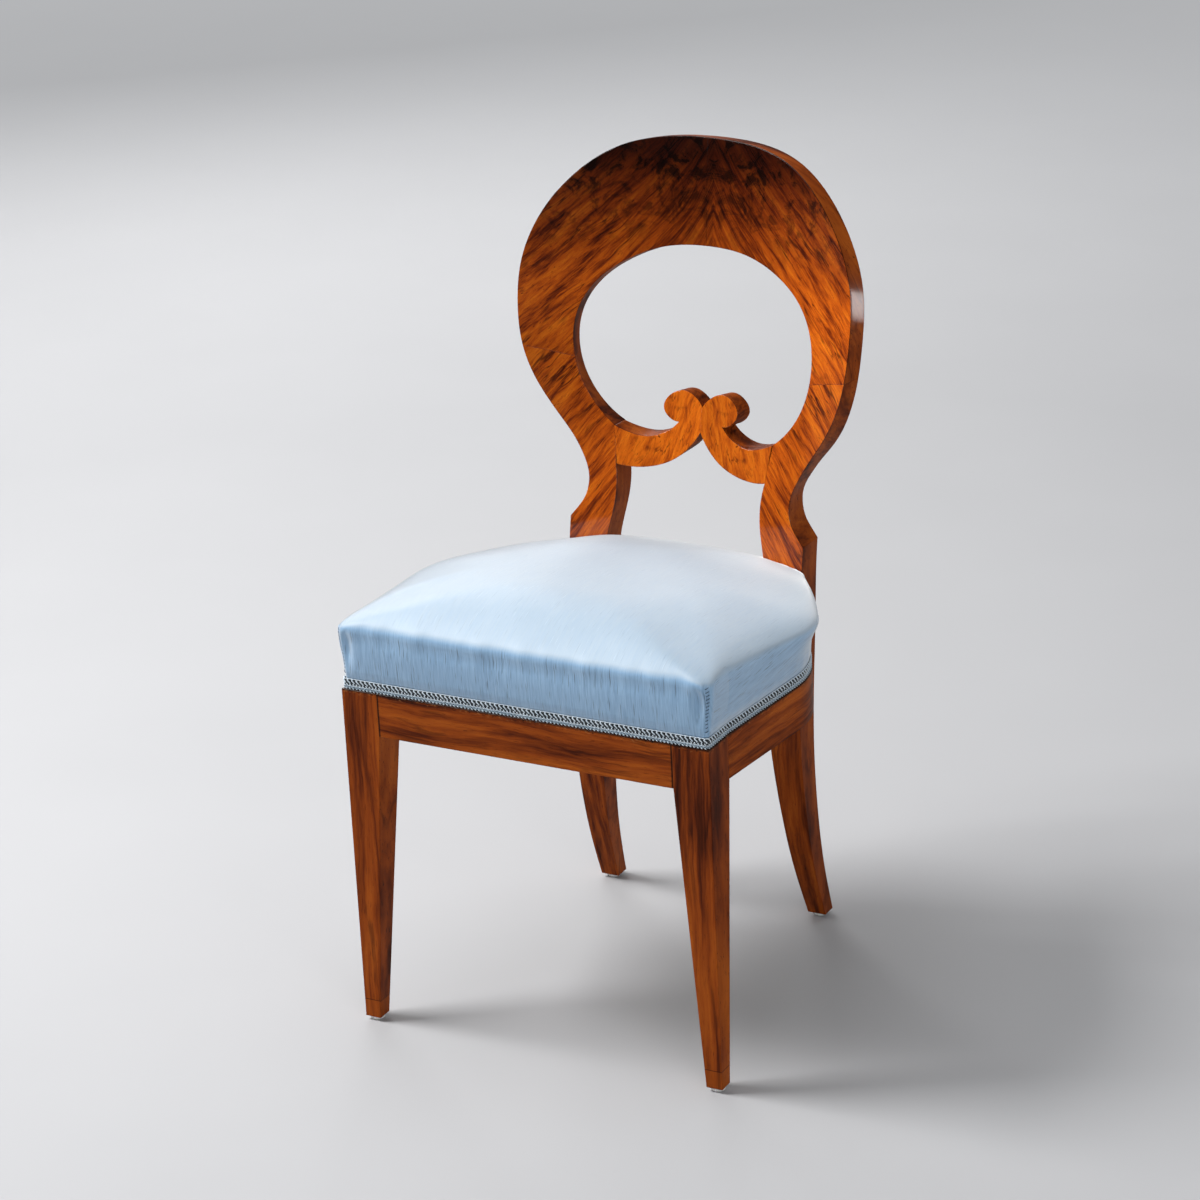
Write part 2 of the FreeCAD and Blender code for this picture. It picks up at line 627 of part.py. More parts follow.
def build():
    """All pieces by name, still with y = 0 at the front."""
    pieces = {}
    front_glide = glide(HALF_WIDTH - FOOT_SIZE / 2, FOOT_SIZE / 2)
    rear_foot_x = (POST_OUTER + REAR_FOOT_INNER) / 2
    rear_foot_y = front_face(rear_foot_x, GLIDE_HEIGHT) + interpolate(GLIDE_HEIGHT, 2) / 2
    rear_glide = glide(rear_foot_x, rear_foot_y)

    waste = rebate_waste()
    blank = balloon_blank()
    zone = crest_zone()
    veneer = curved_sheet(PROFILE, STILE_LINE, -3.0, VENEER_THICKNESS)
    veneer = veneer.common(box((-300, 300, VENEER_BOTTOM), (300, 600, BALLOON_TOP + 20)))
    scroll_veneer = curved_sheet(scroll_profile(), SCROLL_LINE, -3.0, VENEER_THICKNESS)
    right_half = box((0, 300, 0), (300, 600, 1000))
    posts = blank.cut(zone)
    crest = blank.common(zone)
    right_post_whole = biggest(posts.common(right_half))
    dowels_top = crest_dowels()
    dowels_scroll = scroll_dowels()

    mortises = [side_rail_rear_tenon(), rear_rail_tenon(), rear_glide, dowels_top, dowels_scroll]
    right_post = biggest(right_post_whole.cut(veneer)).cut(mortises)
    scroll_whole = right_scroll_blank()
    right_scroll = biggest(scroll_whole.cut(scroll_veneer)).cut(dowels_scroll)
    crest_leaf = biggest(crest.common(veneer).common(right_half))

    leg = right_front_leg().cut(waste).cut([front_rail_tenon(), side_rail_front_tenon(), front_glide])
    side_rail = right_side_rail(right_post_whole, waste)
    posts_room = right_post_whole.fuse(mirrored(right_post_whole))
    rights = {
        "front_{}_leg": leg,
        "rear_{}_post": right_post,
        "{}_side_rail": side_rail,
        "{}_scroll": right_scroll,
        "{}_crest_veneer": crest_leaf,
        "{}_post_veneer": biggest(right_post_whole.common(veneer)),
        "{}_scroll_veneer": biggest(scroll_whole.common(scroll_veneer)),
        "front_{}_corner_block": right_front_block(side_rail),
        "rear_{}_corner_block": right_rear_block(right_post_whole, side_rail),
        "front_{}_glide": front_glide,
        "rear_{}_glide": rear_glide,
    }
    for name, shape in rights.items():
        pieces[name.format("right")] = shape
        pieces[name.format("left")] = mirrored(shape)

    pieces["crest_arch"] = biggest(crest.cut(veneer)).cut(dowels_top)
    pieces["crest_dowels"] = dowels_top
    pieces["scroll_dowels"] = dowels_scroll
    pieces["front_rail"] = front_rail(waste)
    pieces["rear_rail"] = rear_rail(waste)
    for place, y in zip(("front", "middle", "rear"), WEB_CROSSWISE_Y):
        pieces["crosswise_webbing_" + place] = crosswise_strap(y)
    for place, x in zip(("left", "middle", "right"), WEB_LENGTHWISE_X):
        pieces["lengthwise_webbing_" + place] = lengthwise_strap(x, x != 0.0)
    spring_places = {
        "front_left": (0, 0), "front_right": (2, 0), "middle": (1, 1), "rear_left": (0, 2), "rear_right": (2, 2),
    }
    for place, (column, row) in spring_places.items():
        pieces["seat_spring_" + place] = seat_spring(WEB_LENGTHWISE_X[column], WEB_CROSSWISE_Y[row])
    canvas = seat_prism(CANVAS_INSET, RAIL_TOP, RAIL_TOP + CANVAS_THICKNESS)
    pieces["spring_canvas"] = biggest(canvas.cut(posts_room))
    pieces["seat_stuffing"] = seat_stuffing(posts_room)
    pieces["seat_cover"] = seat_cover(posts_room)
    braid = sorted(braid_ring(posts_room).Solids, key=lambda solid: solid.CenterOfMass.y)
    pieces["front_braid"] = braid[0]
    pieces["rear_braid"] = braid[-1]
    return pieces


def main():
    pieces = build()
    boxes = [shape.optimalBoundingBox(False, False) for shape in pieces.values()]
    middle = (min(b.YMin for b in boxes) + max(b.YMax for b in boxes)) / 2
    os.makedirs("parts", exist_ok=True)
    for name, shape in pieces.items():
        placed = shape.copy()
        placed.translate(Vector(0, -middle, 0))
        placed.exportStep("parts/" + name + ".step")
    print("pieces", len(pieces), "origin at y", round(middle, 3), "spring gap", round(spring_gap(), 2))


main()
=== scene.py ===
# Looks of the Biedermeier side chair: polished walnut, book-matched veneer, slubbed silk seat, gimp braid.
# Metres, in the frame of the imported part: +Z up, -Y to the front of the seat, origin on the floor.
import math

import bpy
import numpy as np
from mathutils import Matrix, Vector


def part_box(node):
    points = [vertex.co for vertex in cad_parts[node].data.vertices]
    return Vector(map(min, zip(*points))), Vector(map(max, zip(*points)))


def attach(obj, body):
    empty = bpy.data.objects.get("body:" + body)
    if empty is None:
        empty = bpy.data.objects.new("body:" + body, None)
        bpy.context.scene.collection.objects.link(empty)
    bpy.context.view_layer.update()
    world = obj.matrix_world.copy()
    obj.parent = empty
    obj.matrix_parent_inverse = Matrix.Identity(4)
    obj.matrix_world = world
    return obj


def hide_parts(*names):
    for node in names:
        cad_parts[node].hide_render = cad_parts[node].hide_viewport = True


# Camera of the photograph
CAMERA_TARGET = (0.0, -0.0700, 0.4750)
CAMERA_AZIMUTH = math.radians(28.84)
CAMERA_ELEVATION = math.radians(21.88)
CAMERA_ROLL = math.radians(-2.83)
CAMERA_DISTANCE = 4.4908
CAMERA_LENS = 121.98

# Brightness of the room as it lights the chair, in mirror images and in view, and reach of the floor
ROOM_LIGHT = 0.28
ROOM_IN_MIRRORS = 0.05
ROOM_IN_VIEW = 0.55
FLOOR_REACH = 14.0

# Lamps: place, target, size, power and shape
LAMPS = {
    "key": ((-2.3, -0.9, 3.2), (0, 0, 0.5), (1.5, 1.5), 165.0, "RECTANGLE"),
    "top": ((-0.3, 0.3, 3.4), (0, 0, 0.5), (1.8, 1.8), 24.0, "RECTANGLE"),
    "fill": ((2.6, -2.6, 1.5), (0, 0, 0.5), (1.6, 1.8), 26.0, "RECTANGLE"),
    "back": ((-2.3, 2.7, 2.0), (0, 0, 0.55), (2.0, 1.2), 50.0, "RECTANGLE"),
    "rim": ((2.61, 1.92, 0.62), (0, 0.15, 0.75), (0.22, 1.20), 11.0, "ELLIPSE"),
}

# Plan of the seat
HALF_WIDTH = 0.225
LEG_DEPTH = 0.045
LEG_INNER = 0.181
SIDE_FLARE = 0.10
SIDE_DRAW_IN = math.tan(math.radians(31.0))
SIDE_BEND_RADIUS = 0.120
REAR_RAIL_BACK = 0.412
POST_OUTER = 0.149
POST_INNER = 0.102
POST_FRONT = 0.3822

# Seat heights
BRAID_BOTTOM = 0.4085
BRAID_TOP = 0.4215
CANVAS_TOP = 0.4225
RAIL_BOTTOM = 0.3575

# Outside of the cushion: height at the front, distance inside the frame's faces at the front, at the sides and
# at the back, radius of the corners. Heights fall towards the back, the more the higher they are.
SEAT_FALL = 1.1
SIDE_FALL = 0.15
FALL_BASE = 0.430
CUSHION_FORM = [
    (0.4085, 0.0029, 0.0029, 0.0029, 0.0050),
    (0.4214, 0.0026, 0.0026, 0.0026, 0.0060),
    (0.4228, 0.0012, 0.0012, 0.0014, 0.0065),
    (0.4340, 0.0010, 0.0006, 0.0012, 0.0070),
    (0.4460, 0.0004, -0.0006, 0.0008, 0.0075),
    (0.4560, -0.0004, -0.0024, 0.0002, 0.0085),
    (0.4640, -0.0010, -0.0036, 0.0000, 0.0095),
    (0.4705, -0.0018, -0.0044, 0.0002, 0.0110),
    (0.4760, -0.0032, -0.0048, 0.0006, 0.0130),
    (0.4810, -0.0036, -0.0044, 0.0016, 0.0150),
    (0.4855, -0.0022, -0.0026, 0.0042, 0.0170),
    (0.4895, 0.0014, 0.0010, 0.0080, 0.0200),
    (0.4930, 0.0056, 0.0058, 0.0130, 0.0230),
    (0.4970, 0.0120, 0.0125, 0.0195, 0.0270),
    (0.5015, 0.0205, 0.0215, 0.0280, 0.0320),
    (0.5070, 0.0320, 0.0335, 0.0395, 0.0380),
    (0.5130, 0.0460, 0.0480, 0.0535, 0.0430),
    (0.5185, 0.0620, 0.0650, 0.0700, 0.0470),
    (0.5235, 0.0810, 0.0850, 0.0890, 0.0500),
    (0.5270, 0.1020, 0.1060, 0.1080, 0.0520),
]
ROLL_HEIGHT = 0.4810

# Crown of the cushion, swelling of its two sides, fall beside the rear posts, waves of the front roll by rise,
# length and turn, and the turned-in lower edge
CROWN_HEIGHT = 0.5300
CROWN_MIDDLE = 0.205
CROWN_ROUNDING = 120
LEFT_SWELL = 0.0020
RIGHT_SWELL = 0.0100
SWELL_BACK = 0.305
SWELL_HEIGHT = 0.490
SWELL_LENGTH = 0.10
SWELL_RISE = 0.023
CORNER_FALL = 0.085
CORNER_REACH = 0.045
ROLL_RISE = 0.014
ROLL_WAVES = ((0.0006, 0.071, 0.4), (0.0005, 0.043, 1.9), (0.0003, 0.026, 0.7))
UNDERSIDE_INSET = 0.0041
UNDERSIDE_HEIGHT = 0.4229

# Puckers where the tacks pull the cover down
PUCKER_DEPTH = 0.0004
PUCKER_PITCH = 0.023
PUCKER_HEIGHT = 0.425
PUCKER_REACH = 0.010

# How the cover is drawn taut over its filling: steps, outward pressure and the furthest a point may move
TAUT_STEPS = 20
TAUT_PRESSURE = 4.0
TAUT_REACH = 0.0018
TAUT_EASING = 40

# Sewn corners of the cover: depth and breadth of the groove, the stitches across it and the hollow beside it
SEAM_LOW = 0.424
SEAM_HIGH = 0.481
SEAM_DEPTH = 0.0022
SEAM_BREADTH = 0.0020
STITCH_PITCH = 0.0042
STITCH_LENGTH = 0.0046
STITCH_RADIUS = 0.00045
STITCH_RISE = 0.0007
STITCH_DIP = 0.0010
HOLLOW_DEPTH = 0.0045
HOLLOW_X = 0.2155
HOLLOW_HEIGHT = 0.458
HOLLOW_BREADTH = 0.0055
HOLLOW_RISE = 0.018

# Gimp braid: a dark tape with yarns in front of it. Cords by height and radius, rows of links by height, rise,
# pitch and radius, and a plait of two yarns by the same
TAPE_INSET = 0.0012
TAPE_LOW = 0.4088
TAPE_HIGH = 0.4202
TAPE_DEPTH = 0.0011
YARN_STEP = 0.0009
CORDS = ((0.4209, 0.0005), (0.4128, 0.0004))
CORD_PITCH = 0.010
LINK_ROWS = (
    (0.4179, 0.0023, 0.0056, 0.00085),
    (0.4143, 0.0008, 0.0041, 0.00060),
    (0.4096, 0.0008, 0.0044, 0.00065),
)
PLAIT = (0.4112, 0.0012, 0.0076, 0.0006)
POST_GAP = 0.0008

# Webbing, canvas and tacks
WEB_WIDTH = 0.046
WEB_THICKNESS = 0.0016
WEB_LENGTHWISE = {"left": -0.072, "middle": 0.0, "right": 0.072}
WEB_CROSSWISE = {"front": 0.110, "middle": 0.200, "rear": 0.290}
WEB_MARGIN = 0.007
RAIL_THICKNESS = 0.026
REAR_RAIL_THICKNESS = 0.024
CANVAS_INSET = 0.009
CANVAS_BOTTOM = 0.421
TACK_RADIUS = 0.0029
TACK_RISE = 0.0011
TACK_SIDES = 10
TACK_LEVELS = ((0.4, 0.92), (0.8, 0.6), (1.0, 0.0))
TACKS_PER_END = 4
TACK_INSET = 0.009
TACK_SPREAD = 0.72

# Rounding of the wood's edges, how far from the seam the veneer's figure stays steep, splice of the front feet
# and how fast the figure changes into the board
ARRIS_RADIUS = 0.0018
SEAM_REACH = 0.045
FOOT_SPLICE = 0.0265
DEPTH_SHARE = 0.25

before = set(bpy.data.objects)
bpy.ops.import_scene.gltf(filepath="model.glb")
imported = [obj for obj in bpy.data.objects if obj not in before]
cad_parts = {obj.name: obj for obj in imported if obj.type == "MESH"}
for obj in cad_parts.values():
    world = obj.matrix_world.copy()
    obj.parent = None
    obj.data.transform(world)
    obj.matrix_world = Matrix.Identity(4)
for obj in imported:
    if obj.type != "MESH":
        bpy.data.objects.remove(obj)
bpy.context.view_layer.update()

# Front of the legs, from which the seat is measured to the back
FRONT_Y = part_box("front_left_leg")[0][1]
SEAT_FRONT = np.array([0.0, FRONT_Y, 0.0])


# Small helpers

def mesh_piece(name, vertices, faces, material, smooth=True):
    mesh = bpy.data.meshes.new(name)
    mesh.from_pydata([tuple(v) for v in vertices], [], [tuple(f) for f in faces])
    mesh.update()
    mesh.materials.append(material)
    if smooth:
        mesh.shade_smooth()
    piece = bpy.data.objects.new(name, mesh)
    bpy.context.scene.collection.objects.link(piece)
    return piece


def keep(piece, slot_name, *nodes):
    """Lets a piece ride on the chair in place of the named solids; the slot name is not used."""
    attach(piece, "root")
    if nodes:
        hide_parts(*nodes)
    return piece


# Materials

class Shader:
    """A material whose nodes are added one at a time."""

    def __init__(self, name):
        self.material = bpy.data.materials.new(name)
        self.material.use_nodes = True
        self.tree = self.material.node_tree
        self.surface = self.tree.nodes["Principled BSDF"]

    def node(self, kind, inputs=None, **settings):
        made = self.tree.nodes.new(kind)
        for key, value in settings.items():
            setattr(made, key, value)
        for key, value in (inputs or {}).items():
            self.feed(made.inputs[key], value)
        return made

    def feed(self, socket, value):
        if isinstance(value, bpy.types.NodeSocket):
            self.tree.links.new(value, socket)
        else:
            socket.default_value = value

    def math(self, operation, first, second=0.0):
        return self.node("ShaderNodeMath", {0: first, 1: second}, operation=operation).outputs[0]

    def plus(self, first, second):
        return self.math("ADD", first, second)

    def minus(self, first, second):
        return self.math("SUBTRACT", first, second)

    def times(self, first, second):
        return self.math("MULTIPLY", first, second)

    def over(self, first, second):
        return self.math("DIVIDE", first, second)

    def distance(self, first, second):
        return self.math("ABSOLUTE", self.minus(first, second))

    def weighed(self, first, share, second, other_share):
        """Sum of two values, each times its share."""
        return self.plus(self.times(first, share), self.times(second, other_share))

    def vector(self, x, y, z):
        return self.node("ShaderNodeCombineXYZ", {"X": x, "Y": y, "Z": z}).outputs[0]

    def parts(self, vector):
        return self.node("ShaderNodeSeparateXYZ", {"Vector": vector}).outputs

    def place(self):
        """Place of a point in the piece's own frame, which is the row frame."""
        return self.node("ShaderNodeTexCoord").outputs["Object"]

    def flat_place(self):
        """Place of a point of cloth before it was cut and sewn."""
        return self.node("ShaderNodeUVMap", uv_map="cloth").outputs["UV"]

    def facing(self, kind="Normal"):
        """Parts of the direction in which the surface faces."""
        return self.parts(self.node("ShaderNodeNewGeometry").outputs[kind])

    def noise(self, place, scale=1.0, detail=4.0, roughness=0.55, distortion=0.0):
        made = self.node("ShaderNodeTexNoise", {"Vector": place, "Scale": scale, "Detail": detail})
        self.feed(made.inputs["Roughness"], roughness)
        self.feed(made.inputs["Distortion"], distortion)
        return made.outputs["Fac"]

    def ramp(self, factor, stops):
        made = self.node("ShaderNodeValToRGB", {"Fac": factor})
        elements = made.color_ramp.elements
        while len(elements) < len(stops):
            elements.new(0.5)
        for element, (position, colour) in zip(elements, stops):
            element.position = position
            element.color = colour + (1.0,)
        return made.outputs["Color"]

    def spread(self, value, low, high, to_low=0.0, to_high=1.0):
        made = self.node("ShaderNodeMapRange", {
            "Value": value, "From Min": low, "From Max": high, "To Min": to_low, "To Max": to_high})
        return made.outputs["Result"]

    def mix(self, factor, first, second, blend="MIX"):
        made = self.node("ShaderNodeMix", data_type="RGBA", blend_type=blend)
        self.feed(made.inputs["Factor"], factor)
        self.feed(made.inputs["A"], first)
        self.feed(made.inputs["B"], second)
        return made.outputs["Result"]

    def bump(self, height, distance, strength=1.0, under=None):
        inputs = {"Height": height, "Distance": distance, "Strength": strength}
        if under is not None:
            inputs["Normal"] = under
        return self.node("ShaderNodeBump", inputs).outputs["Normal"]

    def finish(self, **sockets):
        for key, value in sockets.items():
            self.feed(self.surface.inputs[key.replace("_", " ")], value)
        return self.material


def figured_wood(shader, across, depth, along, tones, width=0.012, run=0.10, wander=0.010, polish=0.6,
                 veining=0.75, streaking=0.34, marks_and_shade=None):
    """Polished walnut from three coordinates in metres: across the grain, into the board and along the grain.
    Width and run are the usual breadth and length of a streak, wander is how far the grain sways, veining and
    streaking are how strong the dark veins and the fine streaks are, and the finishing function, where given,
    adds marks, painted light and painted shade to the finished colour."""
    place = shader.vector(across, depth, shader.times(along, 0.35))
    sway = shader.minus(shader.noise(place, 18.0, 3.0), 0.5)
    bent = shader.plus(across, shader.times(sway, 2 * wander))

    def layer(breadth, length, detail, roughness=0.6):
        spot = shader.vector(shader.over(bent, breadth), shader.over(depth, breadth),
                             shader.over(along, length))
        return shader.noise(spot, 1.0, detail, roughness)

    bands = layer(width, run, 4.0)
    streaks = layer(width * 0.22, run * 0.5, 4.0)
    veins = layer(width * 1.4, run * 1.5, 3.0)
    breaks = layer(width * 2.0, run * 0.4, 2.0)
    pores = layer(0.0005, 0.013, 2.0, 0.5)
    blend = shader.weighed(bands, 1 - streaking, streaks, streaking)
    dark, brown, warm, light = tones
    colour = shader.ramp(blend, [(0.31, dark), (0.405, brown), (0.51, warm), (0.66, light)])
    vein = shader.spread(shader.distance(veins, 0.5), 0.004, 0.030, 1.0, 0.0)
    vein = shader.times(vein, shader.spread(breaks, 0.46, 0.60, 0.0, veining))
    colour = shader.mix(vein, colour, dark + (1.0,))
    colour = shader.mix(shader.spread(pores, 0.36, 0.30, 0.0, 0.8), colour, dark + (1.0,))
    if marks_and_shade:
        colour = marks_and_shade(colour)
    arris = shader.node("ShaderNodeBevel", {"Radius": ARRIS_RADIUS}, samples=4).outputs["Normal"]
    waves = shader.bump(shader.noise(place, 55.0, 2.0), 0.0008, 0.10, arris)
    grain = shader.bump(streaks, 0.0004, 0.10, arris)
    rough = shader.spread(streaks, 0.3, 0.7, 0.46, 0.34)
    return shader.finish(Base_Color=colour, Roughness=rough, Normal=grain, Specular_IOR_Level=0.05,
                         Coat_Weight=polish, Coat_IOR=1.42, Coat_Roughness=0.08, Coat_Normal=waves)


# Colours of the wood from its dark veins to its light streaks, and of dirt in a gap, which also serves as the
# painted shadow under the braid
FRAME_TONES = (
    (0.012, 0.0020, 0.0006),
    (0.105, 0.0160, 0.0015),
    (0.265, 0.0480, 0.0032),
    (0.430, 0.0960, 0.0075),
)
VENEER_TONES = (
    (0.012, 0.0016, 0.0004),
    (0.170, 0.0220, 0.0012),
    (0.470, 0.0800, 0.0028),
    (0.680, 0.1600, 0.0060),
)
SCROLL_TONES = (
    (0.110, 0.0150, 0.0010),
    (0.420, 0.0700, 0.0028),
    (0.620, 0.1180, 0.0040),
    (0.760, 0.1800, 0.0080),
)
DIRT_AND_SHADE = (0.008, 0.003, 0.001, 1.0)


def worn_and_shaded_wood(shader, parts, colour, joint, foot):
    """Chips and old nail holes just under the braid, and a painted shadow along the wood's top edge right
    under the braid;
    where asked for, a dark line at the joint with the legs and a spliced foot."""
    spot = shader.vector(shader.times(parts["X"], 210.0), shader.times(parts["Y"], 210.0),
                         shader.times(parts["Z"], 420.0))
    flaw = shader.noise(spot, 1.0, 3.0, 0.6)
    near = shader.spread(parts["Z"], BRAID_BOTTOM - 0.006, BRAID_BOTTOM - 0.001)
    chip = shader.times(shader.spread(flaw, 0.58, 0.63), near)
    hole = shader.times(shader.spread(flaw, 0.41, 0.36), near)
    # Painted shadow: a dark band along the top of the wood, where the braid's shade falls
    painted_shadow = shader.spread(parts["Z"], BRAID_BOTTOM - 0.0026, BRAID_BOTTOM - 0.0006, 0.0, 0.85)
    colour = shader.mix(shader.times(chip, 0.7), colour, (0.42, 0.17, 0.05, 1.0))
    colour = shader.mix(shader.math("MAXIMUM", hole, painted_shadow), colour, DIRT_AND_SHADE)
    if joint:
        end = shader.spread(shader.math("ABSOLUTE", parts["X"]), joint - 0.0026, joint - 0.0012, 0.0, 0.9)
        colour = shader.mix(end, colour, DIRT_AND_SHADE)
    if foot:
        gap = shader.distance(parts["Z"], foot)
        colour = shader.mix(shader.spread(gap, 0.0003, 0.0007, 0.8, 0.0), colour, DIRT_AND_SHADE)
        below = shader.spread(parts["Z"], foot, foot - 0.0004, 0.0, 0.25)
        colour = shader.mix(below, colour, FRAME_TONES[3] + (1.0,))
    return colour


def straight_wood(name, axis, tones, shift=0.0, worn_and_shaded=False, joint=None, foot=None, **options):
    """Walnut whose grain runs along one axis of the row frame; a joint is where the wood meets the front legs,
    and a foot is the height of a splice."""
    shader = Shader(name)
    parts = shader.parts(shader.place())
    order = {"X": "ZYX", "Y": "ZXY", "Z": "XYZ"}[axis]
    across, depth, along = (parts[letter] for letter in order)
    across = shader.plus(across, shift)
    depth = shader.times(depth, DEPTH_SHARE)
    # Worn wood takes chips, old nail holes, the dark joint and splice lines, and a painted shadow right under
    # the braid
    marks_and_shade = (lambda colour: worn_and_shaded_wood(shader, parts, colour, joint, foot)) if worn_and_shaded else None
    return figured_wood(shader, across, depth, along, tones, marks_and_shade=marks_and_shade, **options)


def ring_wood(name, tones, centre_height, radius, **options):
    """Walnut whose grain follows the balloon round its centre."""
    shader = Shader(name)
    parts = shader.parts(shader.place())
    rise = shader.minus(parts["Z"], centre_height)
    turn = shader.math("ARCTAN2", parts["X"], rise)
    along = shader.times(turn, radius)
    squares = shader.weighed(rise, rise, parts["X"], parts["X"])
    across = shader.math("SQRT", squares)
    depth = shader.times(parts["Y"], DEPTH_SHARE)
    return figured_wood(shader, across, depth, along, tones, **options)


def matched_veneer(name, tones, steep, leaf_shades, lift=0.0, dark_shaded_heart=False, seam=0.0, **options):
    """Figured veneer, mirrored about a seam, whose grain rises towards the seam in a chevron, steep away from
    the seam and by the lift steeper close to it. Its left and right leaf are painted lighter and darker, as
    painted light on the two leaves, and its cut edges are dark. Where asked for, it is also painted darker
    towards the top and the seam, as painted shade, with dark blots of figure near the top."""
    shader = Shader(name)
    parts = shader.parts(shader.place())
    side = shader.distance(parts["X"], seam)
    climb = shader.times(side, steep)
    fade = shader.minus(1.0, shader.math("EXPONENT", shader.over(side, -SEAM_REACH)))
    level = shader.plus(parts["Z"], climb)
    level = shader.plus(level, shader.times(fade, lift * SEAM_REACH))
    across = shader.times(level, 1 / math.hypot(1, steep))
    along = shader.minus(shader.times(parts["Z"], steep), side)
    along = shader.over(along, math.hypot(1, steep))
    flat = shader.times(parts["Y"], DEPTH_SHARE)
    facing = shader.facing("True Normal")["Y"]
    edge = shader.spread(shader.math("ABSOLUTE", facing), 0.45, 0.60, 0.85, 0.0)
    # Painted light: one leaf is painted lighter and the other darker, standing in for the light falling
    # differently on the two leaves
    leaf = shader.spread(parts["X"], seam - 0.0005, seam + 0.0005, *leaf_shades)

    def leaf_shade_and_cut_edge(colour):
        colour = shader.mix(1.0, colour, shader.vector(leaf, leaf, leaf), "MULTIPLY")
        return shader.mix(edge, colour, (0.010, 0.003, 0.001, 1.0))

    def shaded_heart(colour):
        # Painted shade: colour darkened towards the top and near the seam; the blots are dark figure of the
        # wood
        shade = shader.spread(parts["Z"], 0.75, 0.90, 1.02, 0.08)
        near = shader.spread(side, 0.10, 0.0, 1.0, 0.75)
        depth = shader.times(shade, near)
        blot = shader.noise(shader.vector(side, flat, parts["Z"]), 34.0, 5.0, 0.65, 1.4)
        patch = shader.times(shader.spread(blot, 0.47, 0.60, 0.0, 0.85), shader.spread(parts["Z"], 0.77, 0.87))
        colour = shader.mix(patch, colour, tones[0] + (1.0,))
        tint = shader.vector(depth, shader.math("POWER", depth, 1.15), depth)
        colour = shader.mix(1.0, colour, tint, "MULTIPLY")
        return leaf_shade_and_cut_edge(colour)

    return figured_wood(shader, across, flat, along, tones, marks_and_shade=shaded_heart if dark_shaded_heart else leaf_shade_and_cut_edge, **options)


def silk():
    """Slubbed silk: fine ribs, thick threads that start and stop, a cool sheen, and a crown painted paler and
    greyer than the walls, as painted sheen.
    """
    shader = Shader("slubbed_silk")
    cloth = shader.flat_place()
    parts = shader.parts(cloth)
    u, v = parts["X"], parts["Y"]

    def threads(across, along, detail):
        place = shader.vector(shader.times(u, across), shader.times(v, along), 0.0)
        return shader.noise(place, 1.0, detail, 0.6)

    fine = threads(2600.0, 160.0, 2.0)
    ribs = threads(700.0, 26.0, 3.0)
    slubs = threads(820.0, 36.0, 1.0)
    cloud = threads(16.0, 10.0, 3.0)
    cross = threads(240.0, 1700.0, 2.0)
    thick = shader.spread(slubs, 0.69, 0.76)
    thin = shader.spread(slubs, 0.365, 0.285)
    facing = shader.facing()["Z"]
    # Painted light: faces turned up take the paler, greyer crown colour and faces turned sideways the bluer
    # side colour, standing in for the sheen on the crown; the rib shading and thin slubs are painted stronger
    # on the walls, where no sheen washes them out
    shaded_wall = shader.spread(facing, 0.70, 0.30)
    border = shader.spread(shaded_wall, 0.0, 1.0, 0.30, 1.0)
    crown = shader.ramp(cloud, [(0.25, (0.27, 0.375, 0.475)), (0.75, (0.33, 0.44, 0.54))])
    sides = shader.ramp(cloud, [(0.25, (0.25, 0.46, 0.70)), (0.75, (0.31, 0.53, 0.77))])
    base = shader.mix(shaded_wall, crown, sides)
    shade = shader.times(shader.spread(ribs, 0.36, 0.60, 0.70, 0.0), border)
    base = shader.mix(shade, base, (0.14, 0.31, 0.53, 1.0))
    base = shader.mix(shader.times(thin, border), base, (0.045, 0.11, 0.21, 1.0))
    base = shader.mix(shader.times(thick, 0.3), base, (0.58, 0.72, 0.85, 1.0))
    base = shader.mix(shader.spread(fine, 0.3, 0.7, 0.16, 0.0), base, (0.16, 0.28, 0.43, 1.0))
    relief = shader.weighed(fine, 0.30, ribs, 0.12)
    relief = shader.weighed(relief, 1.0, thick, 0.35)
    relief = shader.weighed(relief, 1.0, cross, 0.15)
    normal = shader.bump(relief, 0.00035, 0.6)
    rough = shader.spread(ribs, 0.3, 0.7, 0.66, 0.56)
    return shader.finish(Base_Color=base, Roughness=rough, Normal=normal, Sheen_Weight=1.0,
                         Sheen_Roughness=0.45, Sheen_Tint=(1.0, 0.99, 0.97, 1.0), Specular_IOR_Level=0.9,
                         Coat_Weight=0.9, Coat_IOR=1.65, Coat_Roughness=0.62, Coat_Normal=normal)


def yarn(name, pale, shade):
    """Twisted silk yarn of the braid."""
    shader = Shader(name)
    place = shader.place()
    speck = shader.noise(place, 1400.0, 3.0, 0.6)
    tone = shader.noise(place, 60.0, 2.0)
    colour = shader.ramp(shader.weighed(speck, 0.7, tone, 0.3), [(0.30, shade), (0.62, pale)])
    normal = shader.bump(speck, 0.0002, 0.5)
    rough = shader.spread(speck, 0.3, 0.7, 0.6, 0.42)
    return shader.finish(Base_Color=colour, Roughness=rough, Normal=normal, Sheen_Weight=0.2,
                         Sheen_Roughness=0.4)


